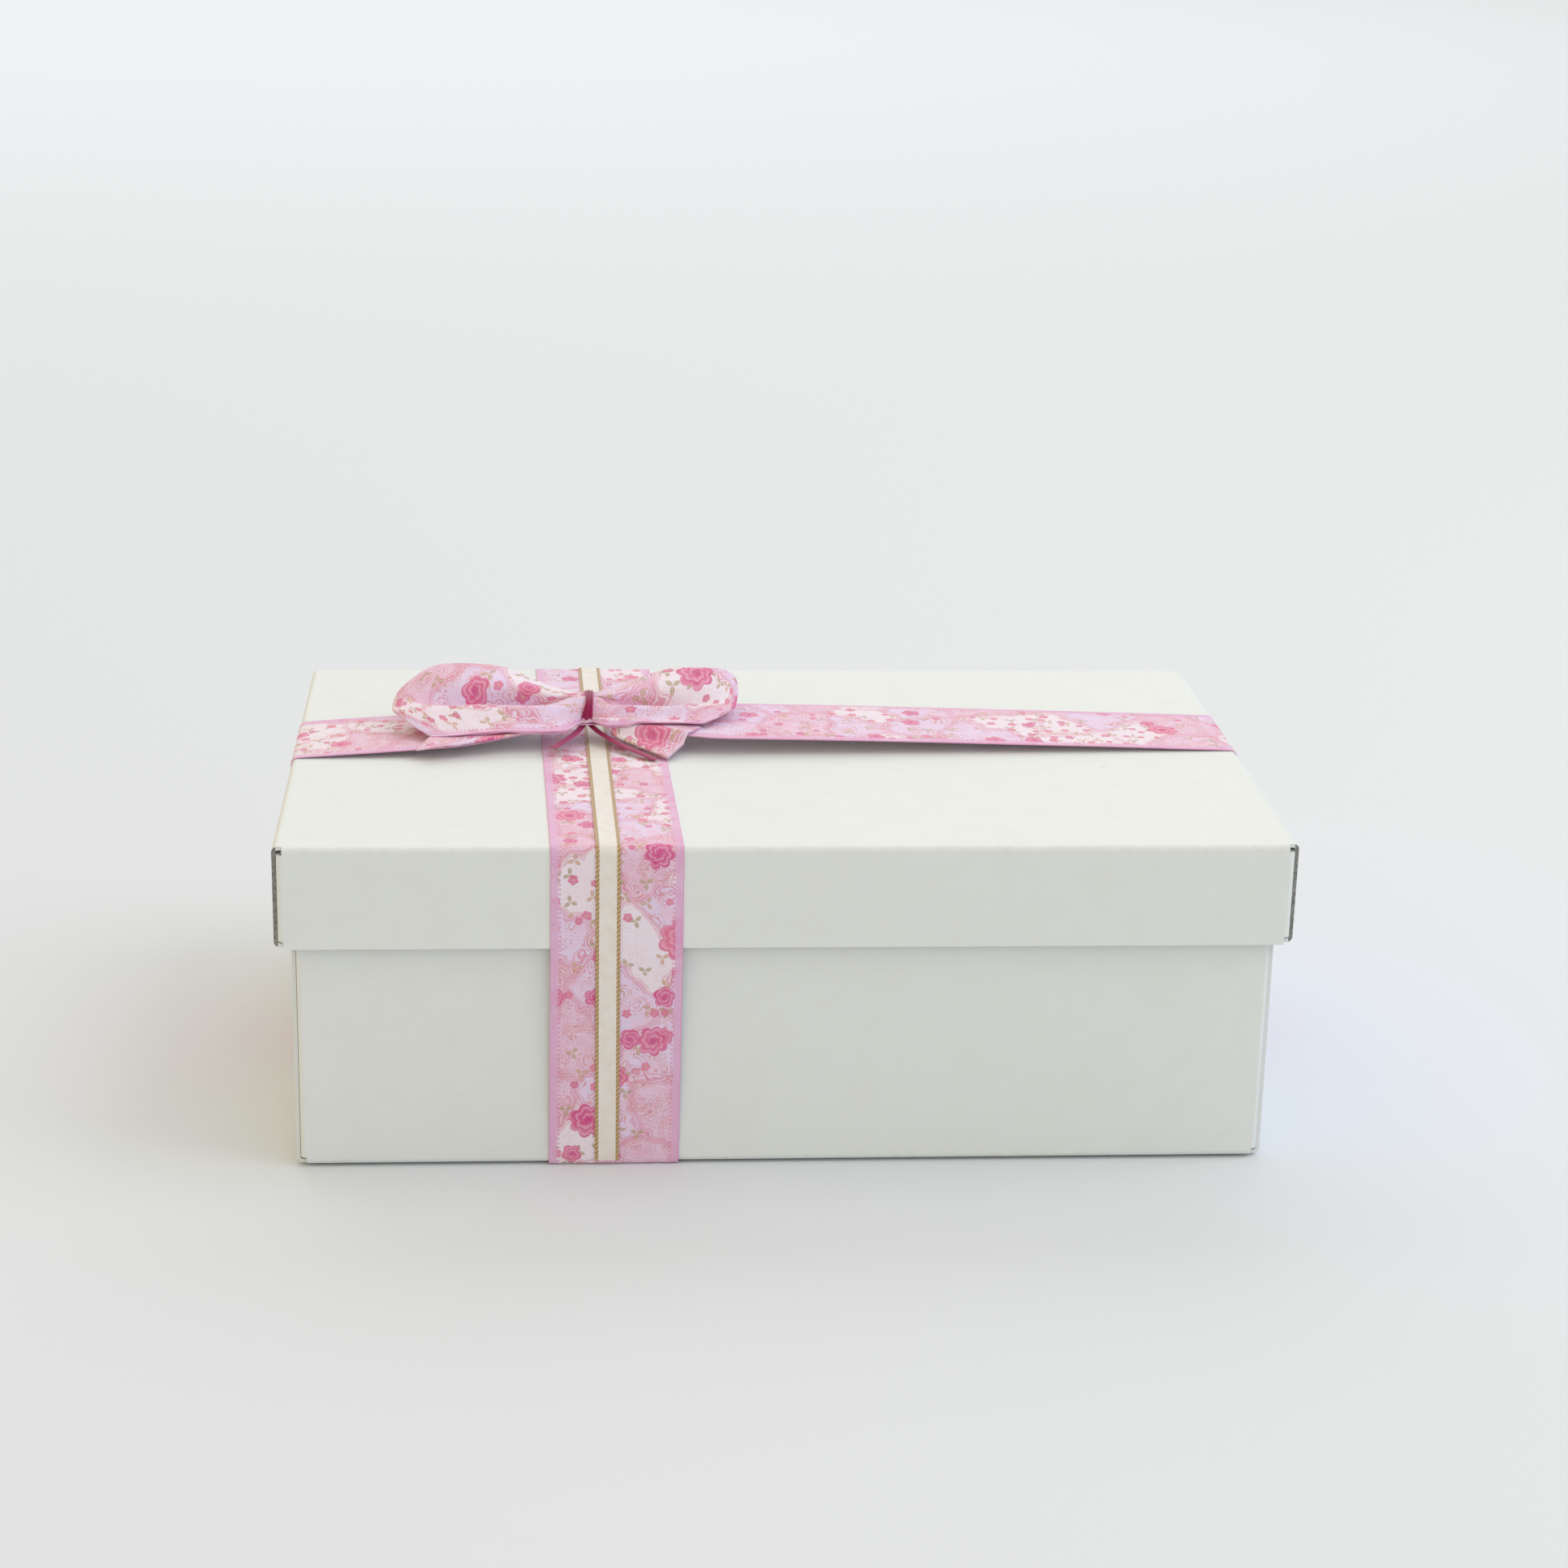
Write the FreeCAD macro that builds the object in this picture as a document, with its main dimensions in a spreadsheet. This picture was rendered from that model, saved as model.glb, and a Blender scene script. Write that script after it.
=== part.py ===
import FreeCAD, Part
import math
import os
import Sketcher

# Gift box: a folded board base and lid, wrapped with a printed ribbon and topped with a bow.
# Millimetres, Z up, the origin on the ground under the middle of the box.

V = FreeCAD.Vector

SIZES = (
    ("board", 1.2, "thickness of the board"),
    ("lap", 0.15, "gap between folded layers of board"),
    ("tuck", 0.6, "gap at an edge that is tucked behind a fold"),
    ("fold_radius", 1.8, "outside radius of a fold"),
    ("cut_reveal", 0.2, "setback of an end panel's cut edge behind the long wall's fold"),
    ("end_inset", 0.4, "narrowing of an end panel at each side from fold to roll"),
    ("base_length", 300.0, "outside length of the base"),
    ("base_width", 190.0, "outside width of the base"),
    ("base_depth", 102.5, "outside height of the base"),
    ("base_tab", 45.0, "length of the base's corner tabs"),
    ("base_tab_slope", 12.0, "corner cut off the end of a base tab"),
    ("end_clearance", 1.1, "gap between base and lid at each end"),
    ("side_clearance", 1.8, "gap between base and lid at front and back"),
    ("lid_depth", 32.0, "outside height of the lid's skirt"),
    ("lid_tab", 40.0, "length of the lid's corner tabs"),
    ("lid_tab_slope", 7.0, "corner cut off the end of a lid tab"),
    ("ribbon_width", 40.0, "width of the printed ribbon"),
    ("ribbon_thick", 0.4, "thickness of the printed ribbon"),
    ("part_gap", 0.3, "gap where a wrapped ribbon parts at the lid's rim"),
    ("cross_offset", -54.0, "middle of the cross ribbon along X"),
    ("length_offset", 15.0, "middle of the length ribbon along Y"),
    ("cream_width", 7.4, "width of the cream ribbon"),
    ("cream_thick", 0.3, "thickness of the cream ribbon"),
    ("cream_offset", -2.8, "middle of the cream ribbon from the middle of the cross ribbon"),
    ("bow_offset", -60.0, "middle of the bow along X"),
    ("knot_lift", 7.0, "rise of the length ribbon at the bow"),
    ("pinch_width", 14.0, "width of the length ribbon where the tie gathers it"),
    ("pinch_run", 50.0, "length each way over which the length ribbon gathers"),
    ("waist_width", 12.0, "width of the bow's ribbon where the tie gathers it"),
    ("loop_gather", 3.0, "thickness of a gathered layer of the loops at the tie"),
    ("tail_gather", 1.4, "thickness of the gathered tails at the tie"),
    ("layer_gap", 0.15, "gap between gathered layers"),
    ("cloth_thick", 0.5, "thickness of the bow's ribbon"),
    ("left_reach", 62.0, "length of the left loop"),
    ("right_reach", 51.0, "length of the right loop"),
    ("near_droop", 4.6, "fall of a loop's near edge at its end"),
    ("far_rise", 5.0, "rise of a loop's far edge at its end"),
    ("near_swell", 1.5, "half height of a loop's hollow at its near edge"),
    ("far_swell", 6.0, "half height of a loop's hollow at its far edge"),
    ("lobe_height", 2.2, "height of the two puffs across a loop"),
    ("belly_share", 0.6, "share of the swell below a loop's middle"),
    ("left_tail", 56.0, "length of the left tail"),
    ("right_tail", 36.0, "length of the right tail"),
    ("left_tail_angle", 193.0, "heading of the left tail in degrees"),
    ("right_tail_angle", -30.0, "heading of the right tail in degrees"),
    ("left_tail_width", 30.0, "width of the left tail at its end"),
    ("right_tail_width", 26.0, "width of the right tail at its end"),
    ("left_tail_drop", 3.6, "fall of the left tail from tie to end"),
    ("right_tail_drop", 2.6, "fall of the right tail from tie to end"),
    ("right_tail_bank", 2.0, "fall of the right tail's near corner below its middle"),
    ("tail_arch", 1.2, "arch across the end of the right tail"),
    ("tie_width", 3.0, "width of the tie's narrow ribbon"),
    ("tie_thick", 1.0, "thickness of the tie where it is wound"),
    ("tie_gap", 0.4, "gap between the tie and what it gathers"),
    ("tie_end_thick", 0.6, "thickness of the tie's free ends"),
    ("tie_end_reach", 30.0, "length of each free end of the tie"),
    ("tie_end_angle", 35.0, "heading of the tie's free ends at their tips in degrees"),
)

DERIVED = (
    ("ground_gap", "2 * Sizes.ribbon_thick", "height of the base's underside"),
    ("end_stack", "3 * Sizes.board + 2 * Sizes.lap", "thickness of a rolled end wall"),
    ("lid_length", "Sizes.base_length + 2 * (Derived.end_stack + Sizes.end_clearance)",
     "outside length of the lid"),
    ("lid_width", "Sizes.base_width + 2 * (Sizes.board + Sizes.side_clearance)",
     "outside width of the lid"),
    ("lid_top", "Derived.ground_gap + Sizes.base_depth + Sizes.board", "height of the lid's top face"),
    ("rim_level", "Derived.lid_top - Sizes.lid_depth", "height of the lid's rim"),
    ("drop_top", "Derived.rim_level - Sizes.part_gap", "height at which the lower ribbons end"),
    ("knot_level", "Derived.lid_top + Sizes.knot_lift", "underside of the length ribbon at the bow"),
)

doc = FreeCAD.newDocument("GiftBox")
sheet = doc.addObject("Spreadsheet::Sheet", "Sizes")
for row, (alias, value, note) in enumerate(SIZES, 1):
    sheet.set(f"A{row}", alias)
    sheet.set(f"B{row}", str(value))
    sheet.set(f"C{row}", note)
    sheet.setAlias(f"B{row}", alias)
doc.recompute()

derived = doc.addObject("App::VarSet", "Derived")
for name, formula, note in DERIVED:
    derived.addProperty("App::PropertyFloat", name, "Derived", note)
    derived.setExpression(name, formula)
    doc.recompute()


def number(formula):
    """The value behind a single name such as Sizes.board."""
    group, name = formula.split(".")
    return float(getattr(doc.getObject(group), name))


def origin_plane(body, role):
    """One of a body's own origin planes."""
    return [item for item in body.Origin.OriginFeatures if item.Role == role][0]


def new_body(label, **place):
    """A body with its own label, whose place along the named axes comes from formulas."""
    body = doc.addObject("PartDesign::Body", label)
    body.Label = label
    for axis, formula in place.items():
        body.setExpression(f"Placement.Base.{axis}", formula)
    return body


def new_sketch(body, name, role, offset=None):
    """An empty sketch on one of the body's own origin planes, or at an offset from it."""
    sketch = body.newObject("Sketcher::SketchObject", name)
    sketch.AttachmentSupport = [(origin_plane(body, role), "")]
    sketch.MapMode = "FlatFace"
    if offset:
        sketch.setExpression("AttachmentOffset.Base.z", offset)
    return sketch


def pin(sketch, geometry, end, corner):
    """Hold one end of a line or arc at a corner given by two formulas."""
    point = sketch.getPoint(geometry, end)
    for kind, start, formula in zip(("DistanceX", "DistanceY"), (point.x, point.y), corner):
        index = sketch.addConstraint(Sketcher.Constraint(kind, geometry, end, start))
        sketch.setExpression(f"Constraints[{index}]", formula)


def set_radius(sketch, geometry, formula):
    """Give an arc its radius from a formula."""
    index = sketch.addConstraint(Sketcher.Constraint("Radius", geometry, sketch.Geometry[geometry].Radius))
    sketch.setExpression(f"Constraints[{index}]", formula)


def add_outline(sketch, corners):
    """A closed run of straight lines through corners given by formulas."""
    first = len(sketch.Geometry)
    count = len(corners)
    turn = 2 * math.pi / count
    start = [V(math.cos(turn * n), math.sin(turn * n), 0) * sheet.ribbon_width for n in range(count)]
    for n in range(count):
        sketch.addGeometry(Part.LineSegment(start[n], start[(n + 1) % count]))
    for n in range(count):
        after = (n + 1) % count
        sketch.addConstraint(Sketcher.Constraint("Coincident", first + n, 2, first + after, 1))
    for n, corner in enumerate(corners):
        pin(sketch, first + n, 1, corner)


def add_curved_outline(sketch, corners, guess, arcs):
    """A closed outline whose stretches are lines, or arcs given as their number, bulge and radius."""
    first = len(sketch.Geometry)
    count = len(corners)
    ends = []
    for n in range(count):
        start = guess[n]
        finish = guess[(n + 1) % count]
        if n in arcs:
            bulge = arcs[n][0]
            left_turn = (bulge - start).cross(finish - bulge).z > 0
            through = (start, bulge, finish) if left_turn else (finish, bulge, start)
            sketch.addGeometry(Part.Arc(*through))
            ends.append((1, 2) if left_turn else (2, 1))
        else:
            sketch.addGeometry(Part.LineSegment(start, finish))
            ends.append((1, 2))
    for n in range(count):
        after = (n + 1) % count
        sketch.addConstraint(
            Sketcher.Constraint("Coincident", first + n, ends[n][1], first + after, ends[after][0]))
    for n, corner in enumerate(corners):
        pin(sketch, first + n, ends[n][0], corner)
    for n, (bulge, radius) in arcs.items():
        set_radius(sketch, first + n, radius)


def add_pad(body, name, sketch, length, symmetric=False, inward=False):
    """A pad of a sketch, both ways from its plane or to one side."""
    pad = body.newObject("PartDesign::Pad", name)
    pad.Profile = sketch
    pad.setExpression("Length", length)
    pad.SideType = "Symmetric" if symmetric else "One side"
    pad.Reversed = inward
    doc.recompute()
    return pad


def lies_at(edge, **places):
    """Whether an edge runs straight along at the given distances from the origin planes."""
    for axis, distance in places.items():
        ends = [getattr(vertex.Point, axis) for vertex in edge.Vertexes]
        if max(ends) - min(ends) > 1e-4 or abs(abs(ends[0]) - abs(distance)) > 1e-4:
            return False
    return True


def edges_at(body, *lines):
    """The names of the edges of the body's tip that lie on any of the given lines."""
    doc.recompute()
    edges = enumerate(body.Tip.Shape.Edges, 1)
    names = [f"Edge{n}" for n, edge in edges if any(lies_at(edge, **line) for line in lines)]
    if len(names) < len(lines):
        raise RuntimeError(f"{body.Label}: {len(names)} edges found on {len(lines)} lines")
    return names


def round_edges(body, name, radius, *lines):
    """Round the edges that lie on the given lines."""
    names = edges_at(body, *lines)
    sharp = body.Tip
    fillet = body.newObject("PartDesign::Fillet", name)
    fillet.Base = (sharp, names)
    fillet.setExpression("Radius", radius)
    doc.recompute()


def mirrored(corners):
    """The same corners on the other side of the sketch's upright axis."""
    return [(f"-({across})", up) for across, up in corners]


def both_sides(corners):
    """A closed outline from its right half, which runs from its inner corner round to its outer one."""
    return corners + mirrored(corners)[::-1]


def folded_tray(label, length, width, depth, tab, tab_slope, **place):
    """One blank folded into an open tray: long walls, tabs behind the ends, ends rolled over double."""
    body = new_body(label, **place)
    half_length = f"{length} / 2"
    half_width = f"{width} / 2"
    inside = f"{half_width} - Sizes.board"
    side = f"{half_width} - Sizes.fold_radius - Sizes.cut_reveal"
    narrow = f"{side} - Sizes.end_inset"
    tucked = "Sizes.board + Sizes.tuck"
    fold_start = f"({half_length} - Sizes.board - Sizes.lap - Sizes.fold_radius)"

    floor = new_sketch(body, "FloorOutline", "XY_Plane")
    add_outline(floor, [(half_length, side), (f"-{half_length}", side),
                        (f"-{half_length}", f"-({side})"), (half_length, f"-({side})")])
    add_pad(body, "Floor", floor, "Sizes.board")

    walls = new_sketch(body, "WallProfile", "YZ_Plane")
    add_outline(walls, both_sides([(inside, "Sizes.board"), (inside, depth),
                                   (half_width, depth), (half_width, "0")]))
    add_pad(body, "LongWalls", walls, f"2 * {fold_start}", symmetric=True)

    end = new_sketch(body, "EndOutline", "YZ_Plane", half_length)
    shoulder = f"{depth} - 2 * Sizes.fold_radius"
    add_outline(end, both_sides([(narrow, depth), (narrow, shoulder), (side, "0")]))
    end_panel = add_pad(body, "EndPanel", end, "Sizes.board", inward=True)

    roll = new_sketch(body, "RollProfile", "XZ_Plane")
    back = f"{half_length} - Derived.end_stack"
    front = f"{back} + Sizes.board"
    under = f"{depth} - Sizes.board"
    add_outline(roll, [(half_length, under), (half_length, depth), (back, depth),
                       (back, tucked), (front, tucked), (front, under)])
    rolled_end = add_pad(body, "RolledEnd", roll, f"2 * ({narrow})", symmetric=True)

    long = number(length)
    wide = number(width)
    high = number(depth)
    tab_foot = "Sizes.fold_radius + Sizes.tuck"
    tabs = new_sketch(body, "TabOutline", "XY_Plane", tab_foot)
    for sign in (1, -1):
        add_corner_tab(tabs, fold_start, half_width, tab, sign, long, wide)
    corner_tabs = add_pad(body, "CornerTabs", tabs, f"{depth} - 2 * ({tab_foot})")

    other_end = body.newObject("PartDesign::Mirrored", "OtherEnd")
    other_end.Originals = [end_panel, rolled_end, corner_tabs]
    other_end.MirrorPlane = (origin_plane(body, "YZ_Plane"), [""])
    body.Tip = other_end

    tab_end = wide / 2 - number(tab)
    tab_low = sheet.fold_radius + sheet.tuck
    names = edges_at(body, {"y": tab_end, "z": tab_low}, {"y": tab_end, "z": high - tab_low})
    slopes = body.newObject("PartDesign::Chamfer", "TabSlopes")
    slopes.Base = (other_end, names)
    slopes.setExpression("Size", tab_slope)

    rolled = long / 2 - derived.end_stack
    board = sheet.board
    round_edges(body, "OuterFolds", "Sizes.fold_radius",
                {"x": long / 2, "z": 0}, {"y": wide / 2, "z": 0},
                {"x": long / 2, "z": high}, {"x": rolled, "z": high})
    round_edges(body, "InnerFolds", "Sizes.fold_radius - Sizes.board",
                {"x": long / 2 - board, "z": board}, {"y": wide / 2 - board, "z": board},
                {"x": long / 2 - board, "z": high - board}, {"x": rolled + board, "z": high - board})
    return body


def add_corner_tab(sketch, fold_start, half_width, tab, sign, long, wide):
    """A corner tab in plan: the long wall's end, its rounded fold and the tab behind the end panel."""
    flip = "" if sign > 0 else "-"
    outer_face = f"{fold_start} + Sizes.fold_radius"
    inner_face = f"{outer_face} - Sizes.board"
    arc_end = f"{flip}({half_width} - Sizes.fold_radius)"
    tab_end = f"{flip}({half_width} - {tab})"
    corners = [(fold_start, f"{flip}({half_width} - Sizes.board)"), (fold_start, f"{flip}({half_width})"),
               (outer_face, arc_end), (outer_face, tab_end), (inner_face, tab_end), (inner_face, arc_end)]
    board = sheet.board
    radius = sheet.fold_radius
    x = long / 2 - board - sheet.lap
    y = wide / 2
    run = number(tab)
    guess = [V(x - radius, sign * (y - board), 0), V(x - radius, sign * y, 0),
             V(x, sign * (y - radius), 0), V(x, sign * (y - run), 0),
             V(x - board, sign * (y - run), 0), V(x - board, sign * (y - radius), 0)]
    centre = V(x - radius, sign * (y - radius), 0)
    lean = V(math.sqrt(0.5), sign * math.sqrt(0.5), 0)
    arcs = {1: (centre + lean * radius, "Sizes.fold_radius"),
            5: (centre + lean * (radius - board), "Sizes.fold_radius - Sizes.board")}
    add_curved_outline(sketch, corners, guess, arcs)


def wrap_profile(span, level, foot, thick):
    """The side view of a ribbon that covers the lid's top and hangs down its skirt."""
    return both_sides([(span, level), (span, foot), (f"{span} + {thick}", foot),
                       (f"{span} + {thick}", f"{level} + {thick}")])


def cradle_profile(foot_span, top_span, level, top, thick):
    """The side view of a ribbon that passes under the base and leans out to the lid's rim."""
    return both_sides([(foot_span, f"{level} + {thick}"), (top_span, top), (f"{top_span} + {thick}", top),
                       (f"{foot_span} + {thick}", level)])


def cross_ribbon_upper():
    """The printed ribbon from front to back over the lid."""
    body = new_body("cross_ribbon_upper", x="Sizes.cross_offset")
    profile = new_sketch(body, "Profile", "YZ_Plane")
    add_outline(profile, wrap_profile("Derived.lid_width / 2", "Derived.lid_top", "Derived.rim_level",
                                      "Sizes.ribbon_thick"))
    add_pad(body, "Strip", profile, "Sizes.ribbon_width", symmetric=True)
    span = derived.lid_width / 2
    thick = sheet.ribbon_thick
    round_edges(body, "InnerFolds", "Sizes.fold_radius", {"y": span, "z": derived.lid_top})
    round_edges(body, "OuterFolds", "Sizes.fold_radius + Sizes.ribbon_thick",
                {"y": span + thick, "z": derived.lid_top + thick})
    return body


def cream_ribbon_upper():
    """The narrow cream ribbon on top of the cross ribbon over the lid."""
    body = new_body("cream_ribbon_upper", x="Sizes.cross_offset + Sizes.cream_offset")
    profile = new_sketch(body, "Profile", "YZ_Plane")
    add_outline(profile, wrap_profile("(Derived.lid_width / 2 + Sizes.ribbon_thick)",
                                      "(Derived.lid_top + Sizes.ribbon_thick)", "Derived.rim_level",
                                      "Sizes.cream_thick"))
    add_pad(body, "Strip", profile, "Sizes.cream_width", symmetric=True)
    span = derived.lid_width / 2 + sheet.ribbon_thick
    level = derived.lid_top + sheet.ribbon_thick
    thick = sheet.cream_thick
    round_edges(body, "InnerFolds", "Sizes.fold_radius + Sizes.ribbon_thick", {"y": span, "z": level})
    round_edges(body, "OuterFolds", "Sizes.fold_radius + Sizes.ribbon_thick + Sizes.cream_thick",
                {"y": span + thick, "z": level + thick})
    return body


def cross_ribbon_lower():
    """The printed ribbon from the lid's rim down, under the base and up the back."""
    body = new_body("cross_ribbon_lower", x="Sizes.cross_offset")
    profile = new_sketch(body, "Profile", "YZ_Plane")
    add_outline(profile, cradle_profile("Sizes.base_width / 2", "Derived.lid_width / 2", "0",
                                        "Derived.drop_top", "Sizes.ribbon_thick"))
    add_pad(body, "Strip", profile, "Sizes.ribbon_width", symmetric=True)
    span = sheet.base_width / 2
    thick = sheet.ribbon_thick
    round_edges(body, "InnerFolds", "Sizes.fold_radius - Sizes.ribbon_thick", {"y": span, "z": thick})
    round_edges(body, "OuterFolds", "Sizes.fold_radius", {"y": span + thick, "z": 0})
    return body


def cream_ribbon_lower():
    """The narrow cream ribbon on the cross ribbon's front and back drops."""
    body = new_body("cream_ribbon_lower", x="Sizes.cross_offset + Sizes.cream_offset")
    profile = new_sketch(body, "Profile", "YZ_Plane")
    rise = "Sizes.fold_radius / Derived.drop_top"
    lean = f"(Derived.lid_width - Sizes.base_width) / 2 * {rise}"
    foot = f"Sizes.base_width / 2 + {lean} + Sizes.ribbon_thick"
    top = "Derived.lid_width / 2 + Sizes.ribbon_thick"
    drop = [(foot, "Sizes.fold_radius"), (f"{foot} + Sizes.cream_thick", "Sizes.fold_radius"),
            (f"{top} + Sizes.cream_thick", "Derived.drop_top"), (top, "Derived.drop_top")]
    add_outline(profile, drop)
    add_outline(profile, mirrored(drop))
    add_pad(body, "Strips", profile, "Sizes.cream_width", symmetric=True)
    return body


def length_ribbon_lower():
    """The printed ribbon from the lid's rim down the left end, under the base and up the right end."""
    body = new_body("length_ribbon_lower", y="Sizes.length_offset")
    profile = new_sketch(body, "Profile", "XZ_Plane")
    add_outline(profile, cradle_profile("Sizes.base_length / 2", "Derived.lid_length / 2",
                                        "Sizes.ribbon_thick", "Derived.drop_top", "Sizes.ribbon_thick"))
    add_pad(body, "Strip", profile, "Sizes.ribbon_width", symmetric=True)
    span = sheet.base_length / 2
    thick = sheet.ribbon_thick
    round_edges(body, "InnerFolds", "Sizes.fold_radius - Sizes.ribbon_thick", {"x": span, "z": 2 * thick})
    round_edges(body, "OuterFolds", "Sizes.fold_radius", {"x": span + thick, "z": thick})
    return body


def length_ribbon_upper():
    """The printed ribbon from left to right over the lid, drawn up and gathered under the bow."""
    body = new_body("length_ribbon_upper", y="Sizes.length_offset")
    profile = new_sketch(body, "Profile", "XZ_Plane")
    span = "Derived.lid_length / 2"
    level = "Derived.lid_top"
    thick = "Sizes.ribbon_thick"
    left = "Sizes.bow_offset - Sizes.tie_width"
    right = "Sizes.bow_offset + Sizes.tie_width"
    foot = "Derived.rim_level"
    peak = "Derived.knot_level"
    outer_span = f"{span} + {thick}"
    outer_level = f"{level} + {thick}"
    outer_peak = f"{peak} + {thick}"
    add_outline(profile, [
        (f"-{span}", level), (left, peak), (right, peak), (span, level), (span, foot),
        (outer_span, foot), (outer_span, outer_level), (right, outer_peak), (left, outer_peak),
        (f"-({outer_span})", outer_level), (f"-({outer_span})", foot), (f"-{span}", foot)])
    add_pad(body, "Strip", profile, "Sizes.ribbon_width", symmetric=True)
    half = derived.lid_length / 2
    round_edges(body, "InnerFolds", "Sizes.fold_radius", {"x": half, "z": derived.lid_top})
    round_edges(body, "OuterFolds", "Sizes.fold_radius + Sizes.ribbon_thick",
                {"x": half + sheet.ribbon_thick, "z": derived.lid_top + sheet.ribbon_thick})

    plan = new_sketch(body, "GatherPlan", "XY_Plane", "Derived.knot_level")
    for sign in (1, -1):
        add_gather(plan, sign)
    gather = body.newObject("PartDesign::Pocket", "Gather")
    gather.Profile = plan
    gather.Type = "ThroughAll"
    gather.SideType = "Symmetric"
    doc.recompute()
    return body


def add_gather(sketch, sign):
    """One side of the gather in plan: an arc from edge to edge of the ribbon past the tie."""
    flip = "" if sign > 0 else "-"
    start = "Sizes.bow_offset - Sizes.pinch_run"
    finish = "Sizes.bow_offset + Sizes.pinch_run"
    edge = f"{flip}Sizes.ribbon_width / 2"
    clear = f"{flip}(Sizes.ribbon_width / 2 + Sizes.board)"
    depth = "(Sizes.ribbon_width - Sizes.pinch_width) / 2"
    corners = [(start, edge), (start, clear), (finish, clear), (finish, edge)]
    middle = sheet.bow_offset
    run = sheet.pinch_run
    y = sheet.ribbon_width / 2
    guess = [V(middle - run, sign * y, 0), V(middle - run, sign * (y + sheet.board), 0),
             V(middle + run, sign * (y + sheet.board), 0), V(middle + run, sign * y, 0)]
    bulge = V(middle, sign * sheet.pinch_width / 2, 0)
    radius = f"(Sizes.pinch_run ^ 2 + ({depth}) ^ 2) / (2 * {depth})"
    add_curved_outline(sketch, corners, guess, {3: (bulge, radius)})


def smooth(value):
    """An even rise from 0 to 1, level at both ends."""
    value = min(max(value, 0.0), 1.0)
    return value * value * (3 - 2 * value)


def blend(first, last, share):
    """A value between two others."""
    return first + (last - first) * share


def loft(sections):
    """A solid skinned through closed sections, each a ring of points."""
    return Part.makeLoft([Part.makePolygon(ring + ring[:1]) for ring in sections], True, True)


def loop_place(heading, reach, side, step, share):
    """A point on one loop, above or below: step runs out from the tie, share from near edge to far."""
    bulge = math.sin(math.pi * step ** 1.15)
    far = (share + 1) / 2
    middle = blend(-sheet.near_droop, sheet.far_rise, far) * smooth(step / 0.9)
    swell = blend(sheet.near_swell, sheet.far_swell, far) * (1.0 if side > 0 else sheet.belly_share)
    puff = sheet.lobe_height * math.sin(math.pi * share) ** 2 if side > 0 else 0.0
    rest = side * (sheet.loop_gather + sheet.layer_gap) / 2 * (1 - smooth(step))
    width = blend(sheet.waist_width, sheet.ribbon_width, smooth(step / 0.6))
    out = sheet.tie_width / 2 + (reach - sheet.tie_width / 2) * math.sin(math.pi * step / 2)
    return V(heading * out, share * width / 2, rest + middle + (side * swell + puff) * bulge)


def loop_section(heading, reach, side, step):
    """The ribbon's section across one loop, its outer face first."""
    thick = blend(sheet.loop_gather, sheet.cloth_thick, smooth(step / 0.3))
    outer = []
    inner = []
    for share in (-1.0, -0.5, 0.0, 0.5, 1.0):
        spot = loop_place(heading, reach, side, step, share)
        ahead = loop_place(heading, reach, side, min(step + 0.005, 1.0), share)
        ahead -= loop_place(heading, reach, side, max(step - 0.005, 0.0), share)
        if step == 0:
            normal = V(0, 0, side)
        elif step == 1:
            normal = V(heading, 0, 0)
        else:
            normal = V(-side * heading * ahead.z, 0, side * heading * ahead.x).normalize()
        outer.append(spot + normal * (thick / 2))
        inner.append(spot - normal * (thick / 2))
    return outer + inner[::-1]


def loop_band(heading, reach):
    """One loop: out from the tie underneath, round its end and back on top."""
    stations = 9
    steps = [n / stations for n in range(stations + 1)]
    below = [loop_section(heading, reach, -1, step) for step in steps]
    above = [loop_section(heading, reach, 1, step) for step in steps[-2::-1]]
    return loft(below + above)


def bow_loops():
    """The gathered band with a left and a right loop, sewn together under the tie."""
    height = 2 * sheet.loop_gather + sheet.layer_gap
    middle = Part.makeBox(sheet.tie_width, sheet.waist_width, height,
                          V(-sheet.tie_width / 2, -sheet.waist_width / 2, -height / 2))
    loops = [loop_band(-1, sheet.left_reach), loop_band(1, sheet.right_reach)]
    level = derived.knot_level + sheet.ribbon_thick + sheet.tail_gather + 2 * sheet.layer_gap + height / 2
    return add_solid("bow_loops", middle.fuse(loops), level)


def tail_strip(reach, angle, width, drop, bank, arch):
    """One tail, from the tie down to its cut end."""
    stations = 6
    heading = V(math.cos(math.radians(angle)), math.sin(math.radians(angle)), 0)
    beside = V(-heading.y, heading.x, 0) * (1 if heading.x > 0 else -1)
    start = V(0, 1, 0)
    sections = []
    for n in range(stations + 1):
        step = n / stations
        thick = blend(sheet.tail_gather, sheet.cloth_thick, smooth(step / 0.35))
        half = blend(sheet.waist_width, width, smooth(step)) / 2
        edge = (start * (1 - smooth(step * 2)) + beside * smooth(step * 2)).normalize()
        upper = []
        lower = []
        for share in (-1.0, -0.5, 0.0, 0.5, 1.0):
            rise = (bank * share + arch * (1 - share * share)) * smooth(step) - drop * smooth(step / 0.95)
            middle = heading * (reach * step) + edge * (half * share) + V(0, 0, rise)
            upper.append(middle + V(0, 0, thick / 2))
            lower.append(middle - V(0, 0, thick / 2))
        sections.append(upper + lower[::-1])
    return loft(sections)


def bow_tails():
    """The gathered strip under the loops with a left and a right tail."""
    left = tail_strip(sheet.left_tail, sheet.left_tail_angle, sheet.left_tail_width,
                      sheet.left_tail_drop, 0.0, 0.0)
    right = tail_strip(sheet.right_tail, sheet.right_tail_angle, sheet.right_tail_width,
                       sheet.right_tail_drop, sheet.right_tail_bank, sheet.tail_arch)
    level = derived.knot_level + sheet.ribbon_thick + sheet.layer_gap + sheet.tail_gather / 2
    return add_solid("bow_tails", left.fuse([right]), level)


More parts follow.
